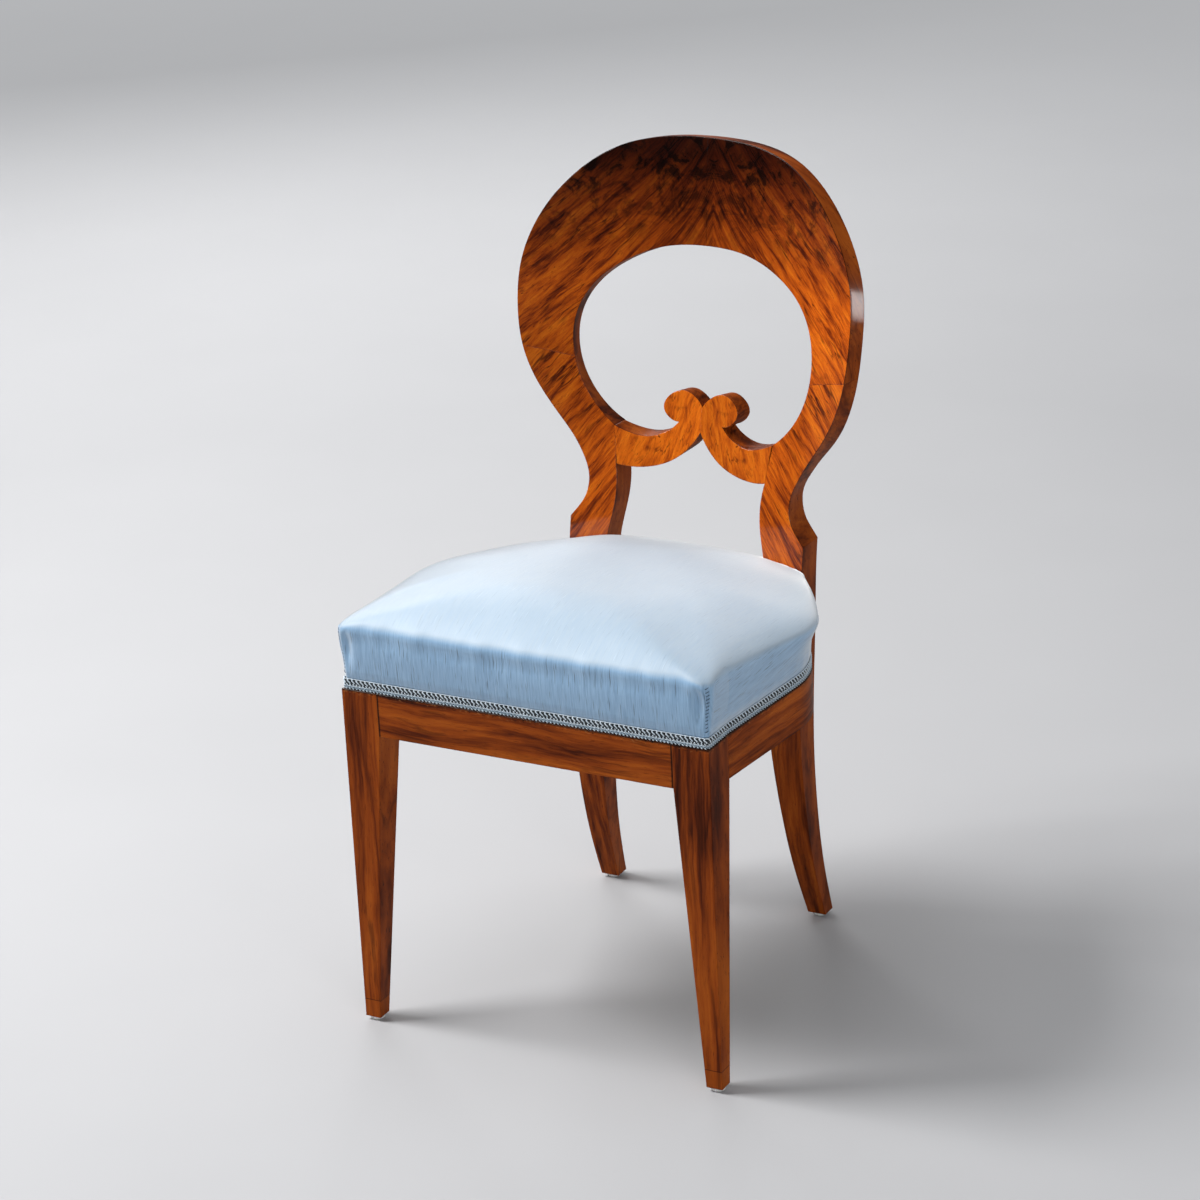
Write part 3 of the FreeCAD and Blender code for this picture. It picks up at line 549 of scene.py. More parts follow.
def woven(name, pale, shade, pitch, stripe=None):
    """Plain coarse weave, from the piece's own flat coordinates; a stripe runs along both edges of webbing."""
    shader = Shader(name)
    cloth = shader.flat_place()
    parts = shader.parts(cloth)
    u = shader.math("SINE", shader.times(parts["X"], 2 * math.pi / pitch))
    v = shader.math("SINE", shader.times(parts["Y"], 2 * math.pi / pitch))
    weave = shader.spread(shader.times(u, v), -1.0, 1.0)
    hair = shader.noise(cloth, 900.0, 4.0, 0.7)
    tone = shader.weighed(weave, 0.55, hair, 0.45)
    colour = shader.ramp(tone, [(0.25, shade), (0.72, pale)])
    if stripe:
        offset, width, dye = stripe
        gap = shader.distance(shader.math("ABSOLUTE", parts["X"]), offset)
        inside = shader.spread(gap, width, width * 0.7)
        colour = shader.mix(shader.times(inside, 0.7), colour, dye)
    normal = shader.bump(tone, 0.0008, 0.7)
    rough = shader.spread(hair, 0.2, 0.8, 0.95, 0.8)
    return shader.finish(Base_Color=colour, Roughness=rough, Normal=normal)


def plain_wood(name):
    """Unpolished beech of the hidden blocks and dowels."""
    shader = Shader(name)
    place = shader.place()
    stretched = shader.node("ShaderNodeMapping", {"Vector": place, "Scale": (60.0, 260.0, 260.0)}).outputs[0]
    grain = shader.noise(stretched, 1.0, 5.0, 0.6)
    colour = shader.ramp(grain, [(0.3, (0.26, 0.15, 0.07)), (0.7, (0.46, 0.30, 0.16))])
    rough = shader.spread(grain, 0.3, 0.7, 0.75, 0.6)
    return shader.finish(Base_Color=colour, Roughness=rough, Normal=shader.bump(grain, 0.0003, 0.5))


def spotted(name, scale, detail, roughness, stops, gloss, **sockets):
    """Metal or plastic whose colour and gloss change from spot to spot."""
    shader = Shader(name)
    spot = shader.noise(shader.place(), scale, detail, roughness)
    rough = shader.spread(spot, 0.3, 0.7, *gloss)
    return shader.finish(Base_Color=shader.ramp(spot, stops), Roughness=rough, **sockets)


LEG_WOOD = straight_wood("leg_walnut", "Z", FRAME_TONES, worn_and_shaded=True, foot=FOOT_SPLICE,
                         width=0.016, run=0.24, veining=0.45, streaking=0.22)
POST_WOOD = straight_wood("post_walnut", "Z", FRAME_TONES, shift=0.4,
                          width=0.014, run=0.18, veining=0.45, streaking=0.22)
FRONT_RAIL_WOOD = straight_wood("front_rail_walnut", "X", FRAME_TONES, worn_and_shaded=True, joint=LEG_INNER,
                                width=0.014, run=0.18, veining=0.45, streaking=0.24)
SIDE_RAIL_WOOD = straight_wood("side_rail_walnut", "Y", FRAME_TONES, shift=0.2, worn_and_shaded=True,
                               width=0.014, run=0.20, veining=0.45, streaking=0.22)
CREST_WOOD = ring_wood("crest_walnut", FRAME_TONES, 0.70, 0.19, width=0.012, run=0.16, polish=0.45,
                       veining=0.45, streaking=0.24)
SCROLL_WOOD = straight_wood("scroll_walnut", "X", FRAME_TONES, shift=0.7, polish=0.15)
FLAMED = {"width": 0.010, "run": 0.110, "wander": 0.012, "polish": 0.9}
CREST_VENEER = matched_veneer("crest_veneer_walnut", VENEER_TONES, 0.85, (0.92, 1.18), lift=1.2,
                              dark_shaded_heart=True, seam=0.008, **dict(FLAMED, run=0.120))
POST_VENEER = matched_veneer("post_veneer_walnut", VENEER_TONES, 1.3, (0.95, 1.15), **FLAMED)
SCROLL_VENEER = matched_veneer("scroll_veneer_walnut", SCROLL_TONES, 3.4, (1.06, 0.86),
                               width=0.008, run=0.035, wander=0.024, polish=0.9)
BEECH = plain_wood("plain_beech")
STEEL = spotted("coppered_wire", 180.0, 4.0, 0.65, [(0.35, (0.16, 0.09, 0.06)), (0.65, (0.48, 0.36, 0.29))],
                (0.6, 0.32), Metallic=1.0)
TACK = spotted("tack_iron", 700.0, 3.0, 0.6, [(0.3, (0.02, 0.02, 0.022)), (0.7, (0.10, 0.09, 0.085))],
               (0.55, 0.35), Metallic=0.9)
WHITE = spotted("moulded_white", 500.0, 4.0, 0.6, [(0.32, (0.62, 0.62, 0.60)), (0.55, (0.82, 0.82, 0.80))],
                (0.45, 0.28), Subsurface_Weight=0.15, Subsurface_Scale=0.003)
SILK = silk()
PALE_YARN = yarn("pale_yarn", (0.82, 0.90, 0.96), (0.54, 0.66, 0.76))
BLUE_YARN = yarn("blue_yarn", (0.42, 0.53, 0.62), (0.16, 0.24, 0.33))
DARK_YARN = yarn("dark_yarn", (0.035, 0.045, 0.055), (0.010, 0.014, 0.018))
SEAM_THREAD = yarn("seam_thread", (0.10, 0.16, 0.24), (0.03, 0.05, 0.09))
JUTE = woven("jute_webbing", (0.46, 0.34, 0.20), (0.20, 0.13, 0.065), 0.0034,
             stripe=(0.0165, 0.0022, (0.16, 0.045, 0.03, 1.0)))
HESSIAN = woven("hessian", (0.50, 0.39, 0.24), (0.22, 0.15, 0.08), 0.0024)

# Material of each solid that stays in view, by the end of its name
NODE_MATERIALS = (
    ("_leg", LEG_WOOD),
    ("_post", POST_WOOD),
    ("_side_rail", SIDE_RAIL_WOOD),
    ("_rail", FRONT_RAIL_WOOD),
    ("crest_arch", CREST_WOOD),
    ("_scroll", SCROLL_WOOD),
    ("crest_veneer", CREST_VENEER),
    ("post_veneer", POST_VENEER),
    ("scroll_veneer", SCROLL_VENEER),
    ("_glide", WHITE),
)


def node_material(name):
    if name.startswith("seat_spring"):
        return STEEL
    for ending, material in NODE_MATERIALS:
        if name.endswith(ending):
            return material
    return BEECH


def dress_nodes():
    """Gives every solid that stays in view its material and smooth faces with crisp edges."""
    for name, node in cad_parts.items():
        mesh = node.data
        mesh.materials.clear()
        mesh.materials.append(node_material(name))
        mesh.shade_smooth()
        mesh.set_sharp_from_angle(angle=math.radians(35.0))


dress_nodes()


# Plan of the seat

def seat_corners(front, side, rear, radius):
    """Corners of the right half of the seat's plan, front to back, each with its radius."""
    flare_start = HALF_WIDTH - SIDE_FLARE * LEG_DEPTH - side * math.hypot(1, SIDE_FLARE)
    side_end = POST_OUTER + SIDE_DRAW_IN * POST_FRONT - side * math.hypot(1, SIDE_DRAW_IN)
    bend_y = (side_end - flare_start) / (SIDE_FLARE + SIDE_DRAW_IN)
    rear_y = REAR_RAIL_BACK - rear
    bend_radius = max(SIDE_BEND_RADIUS - side, SIDE_BEND_RADIUS / 3)
    return [
        (HALF_WIDTH - side, front, radius),
        (HALF_WIDTH - side, LEG_DEPTH + 1.1 * max(side, 0.0), 0.02),
        (flare_start + SIDE_FLARE * bend_y, bend_y, bend_radius),
        (side_end - SIDE_DRAW_IN * rear_y, rear_y, radius),
    ]


ARC_STEPS = (14, 4, 22, 8)
LINE_STEPS = (9, 24, 24, 60)
FRONT_STEPS = 112
SEAM_INDEX = FRONT_STEPS // 2 + ARC_STEPS[0] // 2


def turned(way, angle):
    """Way across the plan, turned by an angle."""
    return Vector((way.x * math.cos(angle) - way.y * math.sin(angle),
                   way.x * math.sin(angle) + way.y * math.cos(angle)))


def plan_outline(front, side, rear, radius):
    """Closed outline of the seat's plan from the front middle, as a set count of points whatever the sizes."""
    right = seat_corners(front, side, rear, radius)
    arcs = []
    places = [Vector((0, front))] + [Vector(c[:2]) for c in right] + [Vector((0, right[-1][1]))]
    for index, corner in enumerate(right):
        here = places[index + 1]
        before = (places[index] - here).normalized()
        after = (places[index + 2] - here).normalized()
        half = before.angle(after) / 2
        reach = corner[2] / math.tan(half)
        centre = here + (before + after).normalized() * (corner[2] / math.sin(half))
        start = here + before * reach - centre
        turn = math.pi - 2 * half
        sign = 1.0 if before.cross(after) < 0 else -1.0
        angles = [sign * turn * step / ARC_STEPS[index] for step in range(ARC_STEPS[index] + 1)]
        arcs.append([centre + turned(start, angle) for angle in angles])
    half_points = []
    last = places[0]
    for index, arc in enumerate(arcs):
        steps = (FRONT_STEPS // 2,) + LINE_STEPS[:3]
        for step in range(steps[index]):
            share = step / steps[index]
            half_points.append(last.lerp(arc[0], 1 - (1 - share) ** 1.5 if index == 0 else share))
        half_points += arc[:-1]
        last = arc[-1]
    for step in range(LINE_STEPS[3] // 2 + 1):
        half_points.append(last.lerp(places[-1], step / (LINE_STEPS[3] // 2)))
    left = [Vector((-p.x, p.y)) for p in reversed(half_points[1:-1])]
    return np.array([tuple(p) for p in half_points + left])


def bell(distance, breadth):
    return np.exp(-(distance / breadth) ** 2)


def fallen(height, plan):
    """Heights over the plan of an outline that is given by its height at the front."""
    across, back = plan[:, 0] / HALF_WIDTH, plan[:, 1]
    drop = SEAT_FALL * back + SIDE_FALL * across ** 2 * back / REAR_RAIL_BACK
    drop += CORNER_FALL * bell(np.hypot(np.abs(plan[:, 0]) - POST_OUTER, back - POST_FRONT), CORNER_REACH)
    return height - max(height - FALL_BASE, 0.0) * drop


def eased(plan, rounds):
    """Closed outline with its corners softened by as many rounds of evening out."""
    for _ in range(rounds):
        plan = (np.roll(plan, 1, axis=0) + 2 * plan + np.roll(plan, -1, axis=0)) / 4
    return plan


def post_front(height):
    """Front of the rear posts at a height, with y = 0 at the front of the legs."""
    middle = (POST_OUTER + POST_INNER) / 2
    for name in ("right_post_veneer", "rear_right_post"):
        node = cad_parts[name]
        inward = node.matrix_world.inverted()
        start = inward @ Vector((middle, -1.0, height))
        hit, place, _, _ = node.ray_cast(start, (inward @ Vector((middle, 0.0, height)) - start).normalized())
        if hit:
            return (node.matrix_world @ place).y - FRONT_Y
    return POST_FRONT


POST_HEIGHTS = np.linspace(0.405, 0.535, 14)
POST_FRONTS = np.array([post_front(height) for height in POST_HEIGHTS])


def clear_of_posts(points):
    """Brings points that lie in the rear posts to the front of them."""
    limit = np.interp(points[:, 2], POST_HEIGHTS, POST_FRONTS) - POST_GAP
    inside = (np.abs(points[:, 0]) > POST_INNER - POST_GAP) & (points[:, 1] > limit)
    points[inside, 1] = limit[inside]
    return points


def pulled_in(ring, height):
    """Gives a ring the pull of the tacks, the swelling of the sides, the waves of the front roll, the sewn
    corner grooves and the hollows beside them."""
    x, y = ring[:, 0], ring[:, 1]
    lengths = np.concatenate([[0.0], np.cumsum(np.hypot(np.diff(x), np.diff(y)))])
    puckers = PUCKER_DEPTH * (1 + np.cos(lengths * 2 * math.pi / PUCKER_PITCH))
    puckers *= math.exp(-abs(height - PUCKER_HEIGHT) / PUCKER_REACH)
    outward = np.column_stack([x, y - CROWN_MIDDLE])
    outward /= np.linalg.norm(outward, axis=1)[:, None]
    shift = -puckers[:, None] * outward * (height > BRAID_TOP)
    swell = np.where(x > 0, RIGHT_SWELL, LEFT_SWELL)
    swell = swell * bell(y - SWELL_BACK, SWELL_LENGTH) * bell(height - SWELL_HEIGHT, SWELL_RISE)
    shift[:, 0] += np.sign(x) * swell
    for rise, length, turn in ROLL_WAVES:
        wave = rise * np.sin(x * 2 * math.pi / length + turn)
        shift[:, 1] -= wave * (y < 0.03) * bell(height - ROLL_HEIGHT, ROLL_RISE)
    if SEAM_LOW < height < SEAM_HIGH + 0.004:
        for sign in (1.0, -1.0):
            corner = ring[SEAM_INDEX if sign > 0 else len(ring) - SEAM_INDEX]
            groove = SEAM_DEPTH * bell(np.hypot(x - corner[0], y - corner[1]), SEAM_BREADTH)
            shift[:, 0] -= sign * groove * 0.7
            shift[:, 1] += groove * 0.7
            hollow = HOLLOW_DEPTH * bell(x - sign * HOLLOW_X, HOLLOW_BREADTH)
            hollow = hollow * bell(height - HOLLOW_HEIGHT, HOLLOW_RISE)
            shift[:, 1] += hollow * (y < 0.02)
    ring[:, :2] += shift
    return ring


def cushion_rings():
    """Rings of points from the underside, out and up the border, and in to the middle of the crown."""
    rings = []
    for height in (UNDERSIDE_HEIGHT, BRAID_BOTTOM + 0.0002):
        plan = plan_outline(*[UNDERSIDE_INSET] * 3, 0.004)
        rings.append(np.column_stack([plan, np.full(len(plan), height)]))
    for height, front, side, rear, radius in CUSHION_FORM:
        share = min(max((height - ROLL_HEIGHT) / 0.03, 0.0), 1.0)
        plan = eased(plan_outline(front, side, rear, radius), round(CROWN_ROUNDING * share))
        rings.append(pulled_in(np.column_stack([plan, fallen(height, plan)]), height))
    rim = rings[-1]
    middle = np.array([0.0, CROWN_MIDDLE])
    for share in (0.84, 0.68, 0.52, 0.36, 0.20, 0.06):
        plan = middle + (rim[:, :2] - middle) * share
        top = CUSHION_FORM[-1][0] + (CROWN_HEIGHT - CUSHION_FORM[-1][0]) * (1 - share ** 2)
        rings.append(np.column_stack([plan, fallen(top, plan)]))
    return [clear_of_posts(ring) for ring in rings]


def ring_faces(first, count, levels):
    """Faces between stacked closed rings, each of as many points."""
    faces = []
    for low in range(first, first + (levels - 1) * count, count):
        for step in range(count):
            following = (step + 1) % count
            faces.append((low + step, low + following, low + count + following, low + count + step))
    return faces


def stack_faces(first, count, levels):
    """Faces of stacked closed rings with a flat face at both ends."""
    ends = [tuple(first + step for step in reversed(range(count)))]
    ends.append(tuple(first + (levels - 1) * count + step for step in range(count)))
    return ring_faces(first, count, levels) + ends


def ring_mesh(rings):
    """Vertices and faces of stacked closed rings, closed by a fan at both ends."""
    count = len(rings[0])
    ends = [rings[0].mean(axis=0)[None], rings[-1].mean(axis=0)[None]]
    vertices = np.concatenate(rings + ends)
    faces = ring_faces(0, count, len(rings))
    top = (len(rings) - 1) * count
    last = len(rings) * count
    faces += [((step + 1) % count, step, last) for step in range(count)]
    faces += [(top + step, top + (step + 1) % count, last + 1) for step in range(count)]
    return vertices, faces


def cloth_map(piece, flat):
    """Stores the flat coordinates of the cloth, in metres, for each vertex."""
    layer = piece.data.uv_layers.new(name="cloth")
    index = np.empty(len(piece.data.loops), dtype=np.int64)
    piece.data.loops.foreach_get("vertex_index", index)
    layer.data.foreach_set("uv", np.asarray(flat, dtype=np.float32)[index].ravel())


def held_points(rings):
    """Points of the cover that are held: its nailed lower edge, the sewn corners and along the posts."""
    count = len(rings[0])
    held = list(range(4 * count))
    for level, ring in enumerate(rings):
        limit = np.interp(ring[:, 2], POST_HEIGHTS, POST_FRONTS) - 0.004
        beside = (np.abs(ring[:, 0]) > POST_INNER - 0.004) & (ring[:, 1] > limit)
        held += [level * count + int(step) for step in np.flatnonzero(beside)]
        if ring[SEAM_INDEX, 2] < SEAM_HIGH:
            held += [level * count + SEAM_INDEX, level * count + count - SEAM_INDEX]
    return held


def drawn_taut(piece, held, levels):
    """Lets the filling press the cover outwards between the held points, as a cloth."""
    mesh = piece.data
    rest = np.empty(3 * len(mesh.vertices))
    mesh.vertices.foreach_get("co", rest)
    group = piece.vertex_groups.new(name="held")
    group.add(held, 1.0, "REPLACE")
    cloth = piece.modifiers.new("cloth", "CLOTH")
    settings = cloth.settings
    settings.vertex_group_mass = "held"
    settings.quality = 6
    settings.mass = 0.25
    settings.tension_stiffness = 40.0
    settings.compression_stiffness = 40.0
    settings.shear_stiffness = 20.0
    settings.bending_stiffness = 2.0
    settings.use_pressure = True
    settings.uniform_pressure_force = TAUT_PRESSURE
    settings.effector_weights.gravity = 0.0
    cloth.point_cache.frame_start = 1
    cloth.point_cache.frame_end = TAUT_STEPS
    for step in range(TAUT_STEPS):
        bpy.context.scene.frame_set(step + 1)
    drawn = piece.evaluated_get(bpy.context.evaluated_depsgraph_get())
    moved = np.empty_like(rest)
    drawn.data.vertices.foreach_get("co", moved)
    piece.modifiers.remove(cloth)
    piece.vertex_groups.remove(group)
    bpy.context.scene.frame_set(1)
    way = (moved - rest).reshape(-1, 3)
    far = np.linalg.norm(way, axis=1)[:, None]
    way *= TAUT_REACH * np.tanh(far / TAUT_REACH) / np.maximum(far, 1e-9)
    around = way[:levels * (len(way) // levels)].reshape(levels, -1, 3)
    around[:] = eased(around.transpose(1, 0, 2), TAUT_EASING).transpose(1, 0, 2)
    way[held] = 0.0
    mesh.vertices.foreach_set("co", rest + way.ravel())
    mesh.update()


def seat_cushion(rings):
    vertices, faces = ring_mesh(rings)
    points = vertices + SEAT_FRONT
    piece = mesh_piece("silk_seat", points, faces, SILK)
    below = np.maximum(ROLL_HEIGHT - vertices[:, 2], 0.0)
    side = np.clip((np.abs(vertices[:, 0]) - 0.19) / 0.03, 0.0, 1.0) * (vertices[:, 1] > 0.012)
    flat_u = vertices[:, 0] + np.sign(vertices[:, 0]) * below * side
    flat_v = vertices[:, 1] - below * (1 - side)
    cloth_map(piece, np.column_stack([flat_u, flat_v]))
    drawn_taut(piece, held_points(rings), len(rings))
    keep(piece, "cover", "seat_cover", "seat_stuffing")


CUSHION_RINGS = cushion_rings()
seat_cushion(CUSHION_RINGS)


# Yarns, tapes and stitches

class Strands:
    """Many tubes of yarn gathered into one mesh with a material for each kind of yarn."""

    def __init__(self):
        self.vertices = []
        self.faces = []
        self.kinds = []

    def tube(self, centres, sideways, upward, radius, kind, sides=4):
        """Tube round a row of centres; sideways and upward are the two directions of its section."""
        self.faces += stack_faces(len(self.vertices), sides, len(centres))
        self.kinds += [kind] * (len(self.faces) - len(self.kinds))
        for centre, out, up in zip(centres, sideways, upward):
            for side in range(sides):
                angle = 2 * math.pi * (side + 0.5) / sides
                self.vertices.append(centre + (out * math.cos(angle) + up * math.sin(angle)) * radius)

    def piece(self, name, materials):
        points = np.array(self.vertices) + SEAT_FRONT
        made = mesh_piece(name, points, self.faces, materials[0])
        for material in materials[1:]:
            made.data.materials.append(material)
        made.data.polygons.foreach_set("material_index", self.kinds)
        return made


PALE, BLUE, DARK = 0, 1, 2


def even_run(points, step):
    """Points at even steps along a line, the direction to the right of travel, and the lengths so far."""
    lengths = np.concatenate([[0.0], np.cumsum(np.linalg.norm(np.diff(points, axis=0), axis=1))])
    marks = np.linspace(0.0, lengths[-1], int(lengths[-1] / step) + 1)
    line = np.column_stack([np.interp(marks, lengths, points[:, axis]) for axis in (0, 1)])
    way = np.gradient(line, axis=0)
    way /= np.linalg.norm(way, axis=1)[:, None]
    return line, np.column_stack([way[:, 1], -way[:, 0]]), marks


def gimp(name, points, node):
    """Gimp along a line: cords, rows of slanted links and a plait, over a dark tape."""
    line, outward, marks = even_run(points, YARN_STEP)
    out = np.column_stack([outward, np.zeros(len(line))])
    up = np.tile((0.0, 0.0, 1.0), (len(line), 1))
    strands = Strands()

    def yarn_run(height, rise, pitch, turn, radius, kind):
        """Yarn that zigzags up and down by its rise, and passes in front of the others and behind them."""
        angle = marks * 2 * math.pi / pitch + turn
        zigzag = np.arcsin(0.97 * np.sin(angle)) * 2 / math.pi
        centres = np.column_stack([line, height + rise * zigzag])
        centres += out * (0.0003 * np.sin(2 * angle))[:, None]
        strands.tube(centres, out, up, radius, kind)

    def link_run(height, rise, pitch, radius, kind):
        """Row of slanted links, each bent like an S and as tall as twice the rise."""
        shares = np.linspace(-1.0, 1.0, 7)
        for middle in np.arange(pitch / 2, marks[-1] - pitch / 2, pitch):
            spots = middle - rise * (0.55 * shares + 0.25 * np.sin(math.pi * shares))
            places = [np.column_stack([np.interp(spots, marks, run[:, axis]) for axis in (0, 1, 2)])
                      for run in (np.column_stack([line, np.full(len(line), height)]), out)]
            centres = places[0] + np.outer(rise * shares, (0.0, 0.0, 1.0))
            centres += places[1] * (0.0004 - 0.0006 * shares ** 2)[:, None]
            along = np.cross(places[1], (0.0, 0.0, 1.0))
            strands.tube(centres, places[1], along, radius, kind, 5)

    for height, radius in CORDS:
        yarn_run(height, 0.0, CORD_PITCH, 0.0, radius, PALE)
    for height, rise, pitch, radius in LINK_ROWS:
        link_run(height, rise, pitch, radius, PALE)
    height, rise, pitch, radius = PLAIT
    for turn in (0.0, math.pi):
        yarn_run(height, rise, pitch, turn, radius, BLUE)
    tape = np.column_stack([line, np.full(len(line), (TAPE_LOW + TAPE_HIGH) / 2)]) - out * TAPE_DEPTH
    strands.tube(tape, out * 0.1, up, (TAPE_HIGH - TAPE_LOW) / math.sqrt(2), DARK)
    return keep(strands.piece(name, [PALE_YARN, BLUE_YARN, DARK_YARN]), "braid", node)


def seat_gimp():
    plan = plan_outline(*[TAPE_INSET] * 3, 0.004)
    half = plan[:len(plan) // 2 + 1]
    right = half[half[:, 1] < POST_FRONT - POST_GAP]
    left = right[:0:-1] * np.array([-1.0, 1.0])
    gimp("front_gimp", np.concatenate([left, right]), "front_braid")
    rear = REAR_RAIL_BACK - TAPE_INSET
    reach = POST_INNER - POST_GAP
    gimp("rear_gimp", np.array([(reach, rear), (-reach, rear)]), "rear_braid")


def corner_stitches():
    """Slanted stitches across the sewn front corners of the cover."""
    corner = np.array([ring[SEAM_INDEX] for ring in CUSHION_RINGS[2:14]])
    rising = np.arange(SEAM_LOW + 0.004, SEAM_HIGH, STITCH_PITCH)
    shares = np.linspace(-1.0, 1.0, 7)
    strands = Strands()
    along = shares * STITCH_LENGTH
    bulge = STITCH_RISE - STITCH_DIP * shares ** 2
    up = np.tile((0.0, 0.0, 1.0), (len(shares), 1))
    for sign in (1.0, -1.0):
        out = np.tile((sign * 0.7, -0.7, 0.0), (len(shares), 1))
        for height in rising:
            level = height + 0.2 * along
            x, y = (np.interp(level, corner[:, 2], corner[:, axis]) for axis in (0, 1))
            centres = np.column_stack([sign * (x + 0.35 * along), y + 0.35 * along, level])
            strands.tube(centres + bulge[:, None] * out, out, up, STITCH_RADIUS, PALE, 5)
    return keep(strands.piece("corner_stitches", [SEAM_THREAD]), "cover")


seat_gimp()
corner_stitches()


# Webbing, canvas and tacks under the seat

def slab(name, grid, flat, thickness, material):
    """Thin cloth from a grid of points on its upper face, with the flat place of each point."""
    rows, columns = grid.shape[:2]
    upper = grid.reshape(-1, 3)
    lower = upper - np.array([0.0, 0.0, thickness])
    count = rows * columns
    faces = []
    for row in range(rows - 1):
        for column in range(columns - 1):
            a = row * columns + column
            quad = (a, a + 1, a + columns + 1, a + columns)
            faces.append(quad)
            faces.append(tuple(count + corner for corner in reversed(quad)))
    rim = list(range(columns))
    rim += [row * columns + columns - 1 for row in range(1, rows)]
    rim += [(rows - 1) * columns + column for column in reversed(range(columns - 1))]
    rim += [row * columns for row in reversed(range(1, rows - 1))]
    for step, here in enumerate(rim):
        following = rim[(step + 1) % len(rim)]
        faces.append((following, here, count + here, count + following))
    points = np.concatenate([upper, lower]) + SEAT_FRONT
    piece = mesh_piece(name, points, faces, material)
    piece.data.set_sharp_from_angle(angle=math.radians(40.0))
    cloth_map(piece, np.concatenate([flat.reshape(-1, 2)] * 2))
    return piece


def side_line(inset):
    """Right side of the seat's plan as places along y and the half widths there."""
    plan = plan_outline(*[inset] * 3, 0.004)
    side = plan[FRONT_STEPS // 2 + ARC_STEPS[0]:len(plan) // 2 - LINE_STEPS[3] // 2 - ARC_STEPS[3]]
    return side[:, 1], side[:, 0]


def strap(way, place, grid, flat):
    """Jute strap in place of its solid."""
    piece = slab(way + "_strap_" + place, grid, flat, WEB_THICKNESS, JUTE)
    return keep(piece, "webbing", way + "_webbing_" + place)


def crosswise_strap(place, middle):
    """Strap from side to side, tacked under the side rails."""
    ys = np.linspace(middle - WEB_WIDTH / 2, middle + WEB_WIDTH / 2, 13)
    reach = np.interp(ys, *side_line(WEB_MARGIN))
    shares = np.linspace(-1.0, 1.0, 121)
    x = reach[:, None] * shares[None]
    y = np.repeat(ys[:, None], len(shares), axis=1)
    grid = np.stack([x, y, np.full_like(x, RAIL_BOTTOM)], axis=-1)
    piece = strap("crosswise", place, grid, np.stack([y - middle, x], axis=-1))
    return [(side * (np.interp(y_end, *side_line(WEB_MARGIN)) - TACK_INSET), y_end)
            for side in (1, -1) for y_end in tack_marks(middle)]


def tack_marks(middle):
    """Places of the tacks across the end of a strap."""
    return [middle + WEB_WIDTH * (step / (TACKS_PER_END - 1) - 0.5) * TACK_SPREAD
            for step in range(TACKS_PER_END)]


def lengthwise_strap(place, middle):
    """Strap from front to back that passes over and under the crosswise straps in turn."""
    step = WEB_THICKNESS + 0.0001
    marks = [(WEB_MARGIN, 0.0), (RAIL_THICKNESS + 0.004, 0.0)]
    for index, y in enumerate(WEB_CROSSWISE.values()):
        lift = step if (index % 2 == 0) == (middle != 0.0) else -step
        marks += [(y - WEB_WIDTH / 2 - 0.002, lift), (y + WEB_WIDTH / 2 + 0.002, lift)]
    marks += [(REAR_RAIL_BACK - REAR_RAIL_THICKNESS - 0.004, 0.0), (REAR_RAIL_BACK - WEB_MARGIN, 0.0)]
    turns, lifts = zip(*marks)
    ys = np.unique(np.concatenate([np.linspace(turns[0], turns[-1], 121), turns]))
    xs = np.linspace(middle + WEB_WIDTH / 2, middle - WEB_WIDTH / 2, 13)
    x, y = np.meshgrid(xs, ys, indexing="ij")
    grid = np.stack([x, y, RAIL_BOTTOM + np.interp(y, turns, lifts)], axis=-1)
    piece = strap("lengthwise", place, grid, np.stack([x - middle, y], axis=-1))
    ends = (turns[0] + TACK_INSET, turns[-1] - TACK_INSET)
    return [(x_end, y_end) for y_end in ends for x_end in tack_marks(middle)]


def tack_heads(places):
    """Low domed heads of the tacks, on the underside of the straps."""
    turns = np.linspace(0.0, 2 * math.pi, TACK_SIDES, endpoint=False)
    circle = np.column_stack([np.cos(turns), np.sin(turns), np.zeros(TACK_SIDES)])
    vertices = []
    faces = []
    for x, y in places:
        faces += stack_faces(len(vertices), TACK_SIDES, len(TACK_LEVELS))
        for breadth, rise in TACK_LEVELS:
            middle = np.array([x, y, RAIL_BOTTOM - WEB_THICKNESS - TACK_RISE * rise])
            vertices += list(SEAT_FRONT + middle + TACK_RADIUS * breadth * circle)
    return keep(mesh_piece("webbing_tacks", vertices, faces, TACK), "spring_steel")


def spring_cloth():
    """Hessian stretched over the springs and the rails."""
    ys, reach = side_line(CANVAS_INSET)
    rows = np.linspace(CANVAS_INSET, REAR_RAIL_BACK - CANVAS_INSET, 81)
    widths = np.interp(rows, ys, reach)
    widths[rows > POST_FRONTS.min() - POST_GAP] = POST_INNER - POST_GAP
    shares = np.linspace(1.0, -1.0, 61)
    x = widths[:, None] * shares[None]
    y = np.repeat(rows[:, None], len(shares), axis=1)
    grid = np.stack([x, y, np.full_like(x, CANVAS_TOP)], axis=-1).transpose(1, 0, 2)
    flat = np.stack([x, y], axis=-1).transpose(1, 0, 2)
    piece = slab("spring_hessian", grid, flat, CANVAS_TOP - CANVAS_BOTTOM, HESSIAN)
    keep(piece, "canvas", "spring_canvas")


def under_seat():
    tacks = []
    for place, middle in WEB_CROSSWISE.items():
        tacks += crosswise_strap(place, middle)
    for place, middle in WEB_LENGTHWISE.items():
        tacks += lengthwise_strap(place, middle)
    tack_heads(tacks)
    spring_cloth()


under_seat()


# Stage, light and camera

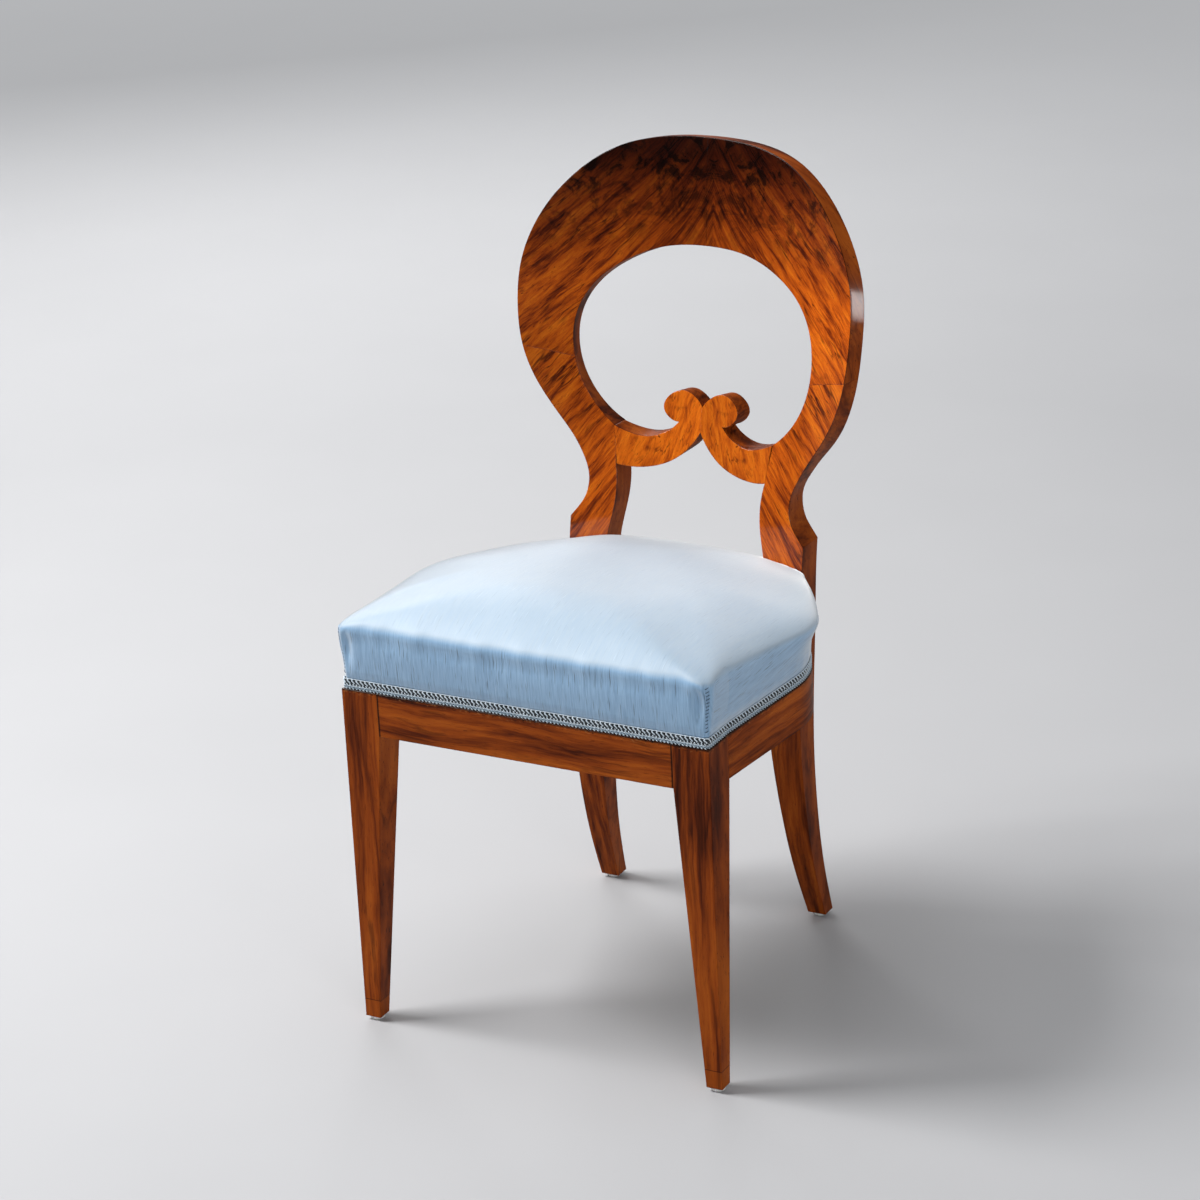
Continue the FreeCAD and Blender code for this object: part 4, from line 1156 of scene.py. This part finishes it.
def studio():
    floor_shader = Shader("studio_floor")
    place = floor_shader.place()
    tone = floor_shader.noise(place, 3.0, 2.0)
    colour = floor_shader.ramp(tone, [(0.3, (0.475, 0.475, 0.485)), (0.7, (0.485, 0.485, 0.495))])
    mirrored = floor_shader.node("ShaderNodeLightPath").outputs["Is Glossy Ray"]
    colour = floor_shader.mix(mirrored, colour, (0.10, 0.095, 0.09, 1.0))
    reach = floor_shader.node("ShaderNodeVectorMath", {0: place}, operation="LENGTH").outputs["Value"]
    glow = floor_shader.spread(reach, 2.0, 7.0, 0.0, 0.42)
    glow = floor_shader.times(glow, floor_shader.minus(1.0, mirrored))
    floor_shader.finish(Base_Color=colour, Roughness=0.95, Specular_IOR_Level=0.1,
                        Emission_Color=(0.97, 0.98, 1.0, 1.0), Emission_Strength=glow)
    corners = [(x * FLOOR_REACH, y * FLOOR_REACH, 0) for x, y in ((-1, -1), (1, -1), (1, 1), (-1, 1))]
    floor = mesh_piece("studio_floor", corners, [(0, 1, 2, 3)], floor_shader.material, smooth=False)
    return floor


def area_light(name, place, target, size, power, shape):
    data = bpy.data.lights.new(name, "AREA")
    data.shape = shape
    data.size, data.size_y = size
    data.energy = power
    lamp = bpy.data.objects.new(name, data)
    way = Vector(target) - Vector(place)
    lamp.matrix_world = Matrix.Translation(place) @ way.to_track_quat("-Z", "Y").to_matrix().to_4x4()
    bpy.context.scene.collection.objects.link(lamp)
    return lamp


def keep_dark(lamp, piece):
    """Keeps the light of a lamp off one piece."""
    unlit = bpy.data.collections.new(lamp.name + "_keeps_dark")
    unlit.objects.link(piece)
    unlit.collection_objects[0].light_linking.link_state = "EXCLUDE"
    lamp.light_linking.receiver_collection = unlit


def lights(floor):
    world = bpy.data.worlds.new("studio")
    world.use_nodes = True
    background = world.node_tree.nodes["Background"]
    background.inputs["Color"].default_value = (0.94, 0.97, 1.0, 1.0)
    links = world.node_tree.links
    rays = world.node_tree.nodes.new("ShaderNodeLightPath").outputs
    in_mirrors = world.node_tree.nodes.new("ShaderNodeMapRange")
    in_mirrors.inputs["To Min"].default_value = ROOM_LIGHT
    in_mirrors.inputs["To Max"].default_value = ROOM_IN_MIRRORS
    links.new(rays["Is Glossy Ray"], in_mirrors.inputs["Value"])
    in_view = world.node_tree.nodes.new("ShaderNodeMapRange")
    in_view.inputs["To Max"].default_value = ROOM_IN_VIEW
    links.new(in_mirrors.outputs["Result"], in_view.inputs["To Min"])
    links.new(rays["Is Camera Ray"], in_view.inputs["Value"])
    links.new(in_view.outputs["Result"], background.inputs["Strength"])
    bpy.context.scene.world = world
    lamps = {name: area_light(name, *settings) for name, settings in LAMPS.items()}
    keep_dark(lamps["rim"], floor)


def camera():
    turn, lift, roll = CAMERA_AZIMUTH, CAMERA_ELEVATION, CAMERA_ROLL
    back = Vector((math.sin(turn) * math.cos(lift), -math.cos(turn) * math.cos(lift), math.sin(lift)))
    right = Vector((math.cos(turn), math.sin(turn), 0.0))
    up = back.cross(right)
    right, up = right * math.cos(roll) + up * math.sin(roll), up * math.cos(roll) - right * math.sin(roll)
    data = bpy.data.cameras.new("photo_camera")
    data.sensor_width = 36.0
    data.lens = CAMERA_LENS
    data.clip_end = 100.0
    seen = bpy.data.objects.new("photo_camera", data)
    place = Vector(CAMERA_TARGET) + back * CAMERA_DISTANCE
    seen.matrix_world = Matrix.Translation(place) @ Matrix((right, up, back)).transposed().to_4x4()
    bpy.context.scene.collection.objects.link(seen)
    bpy.context.scene.camera = seen


lights(studio())
camera()
bpy.context.scene.view_settings.view_transform = "Standard"
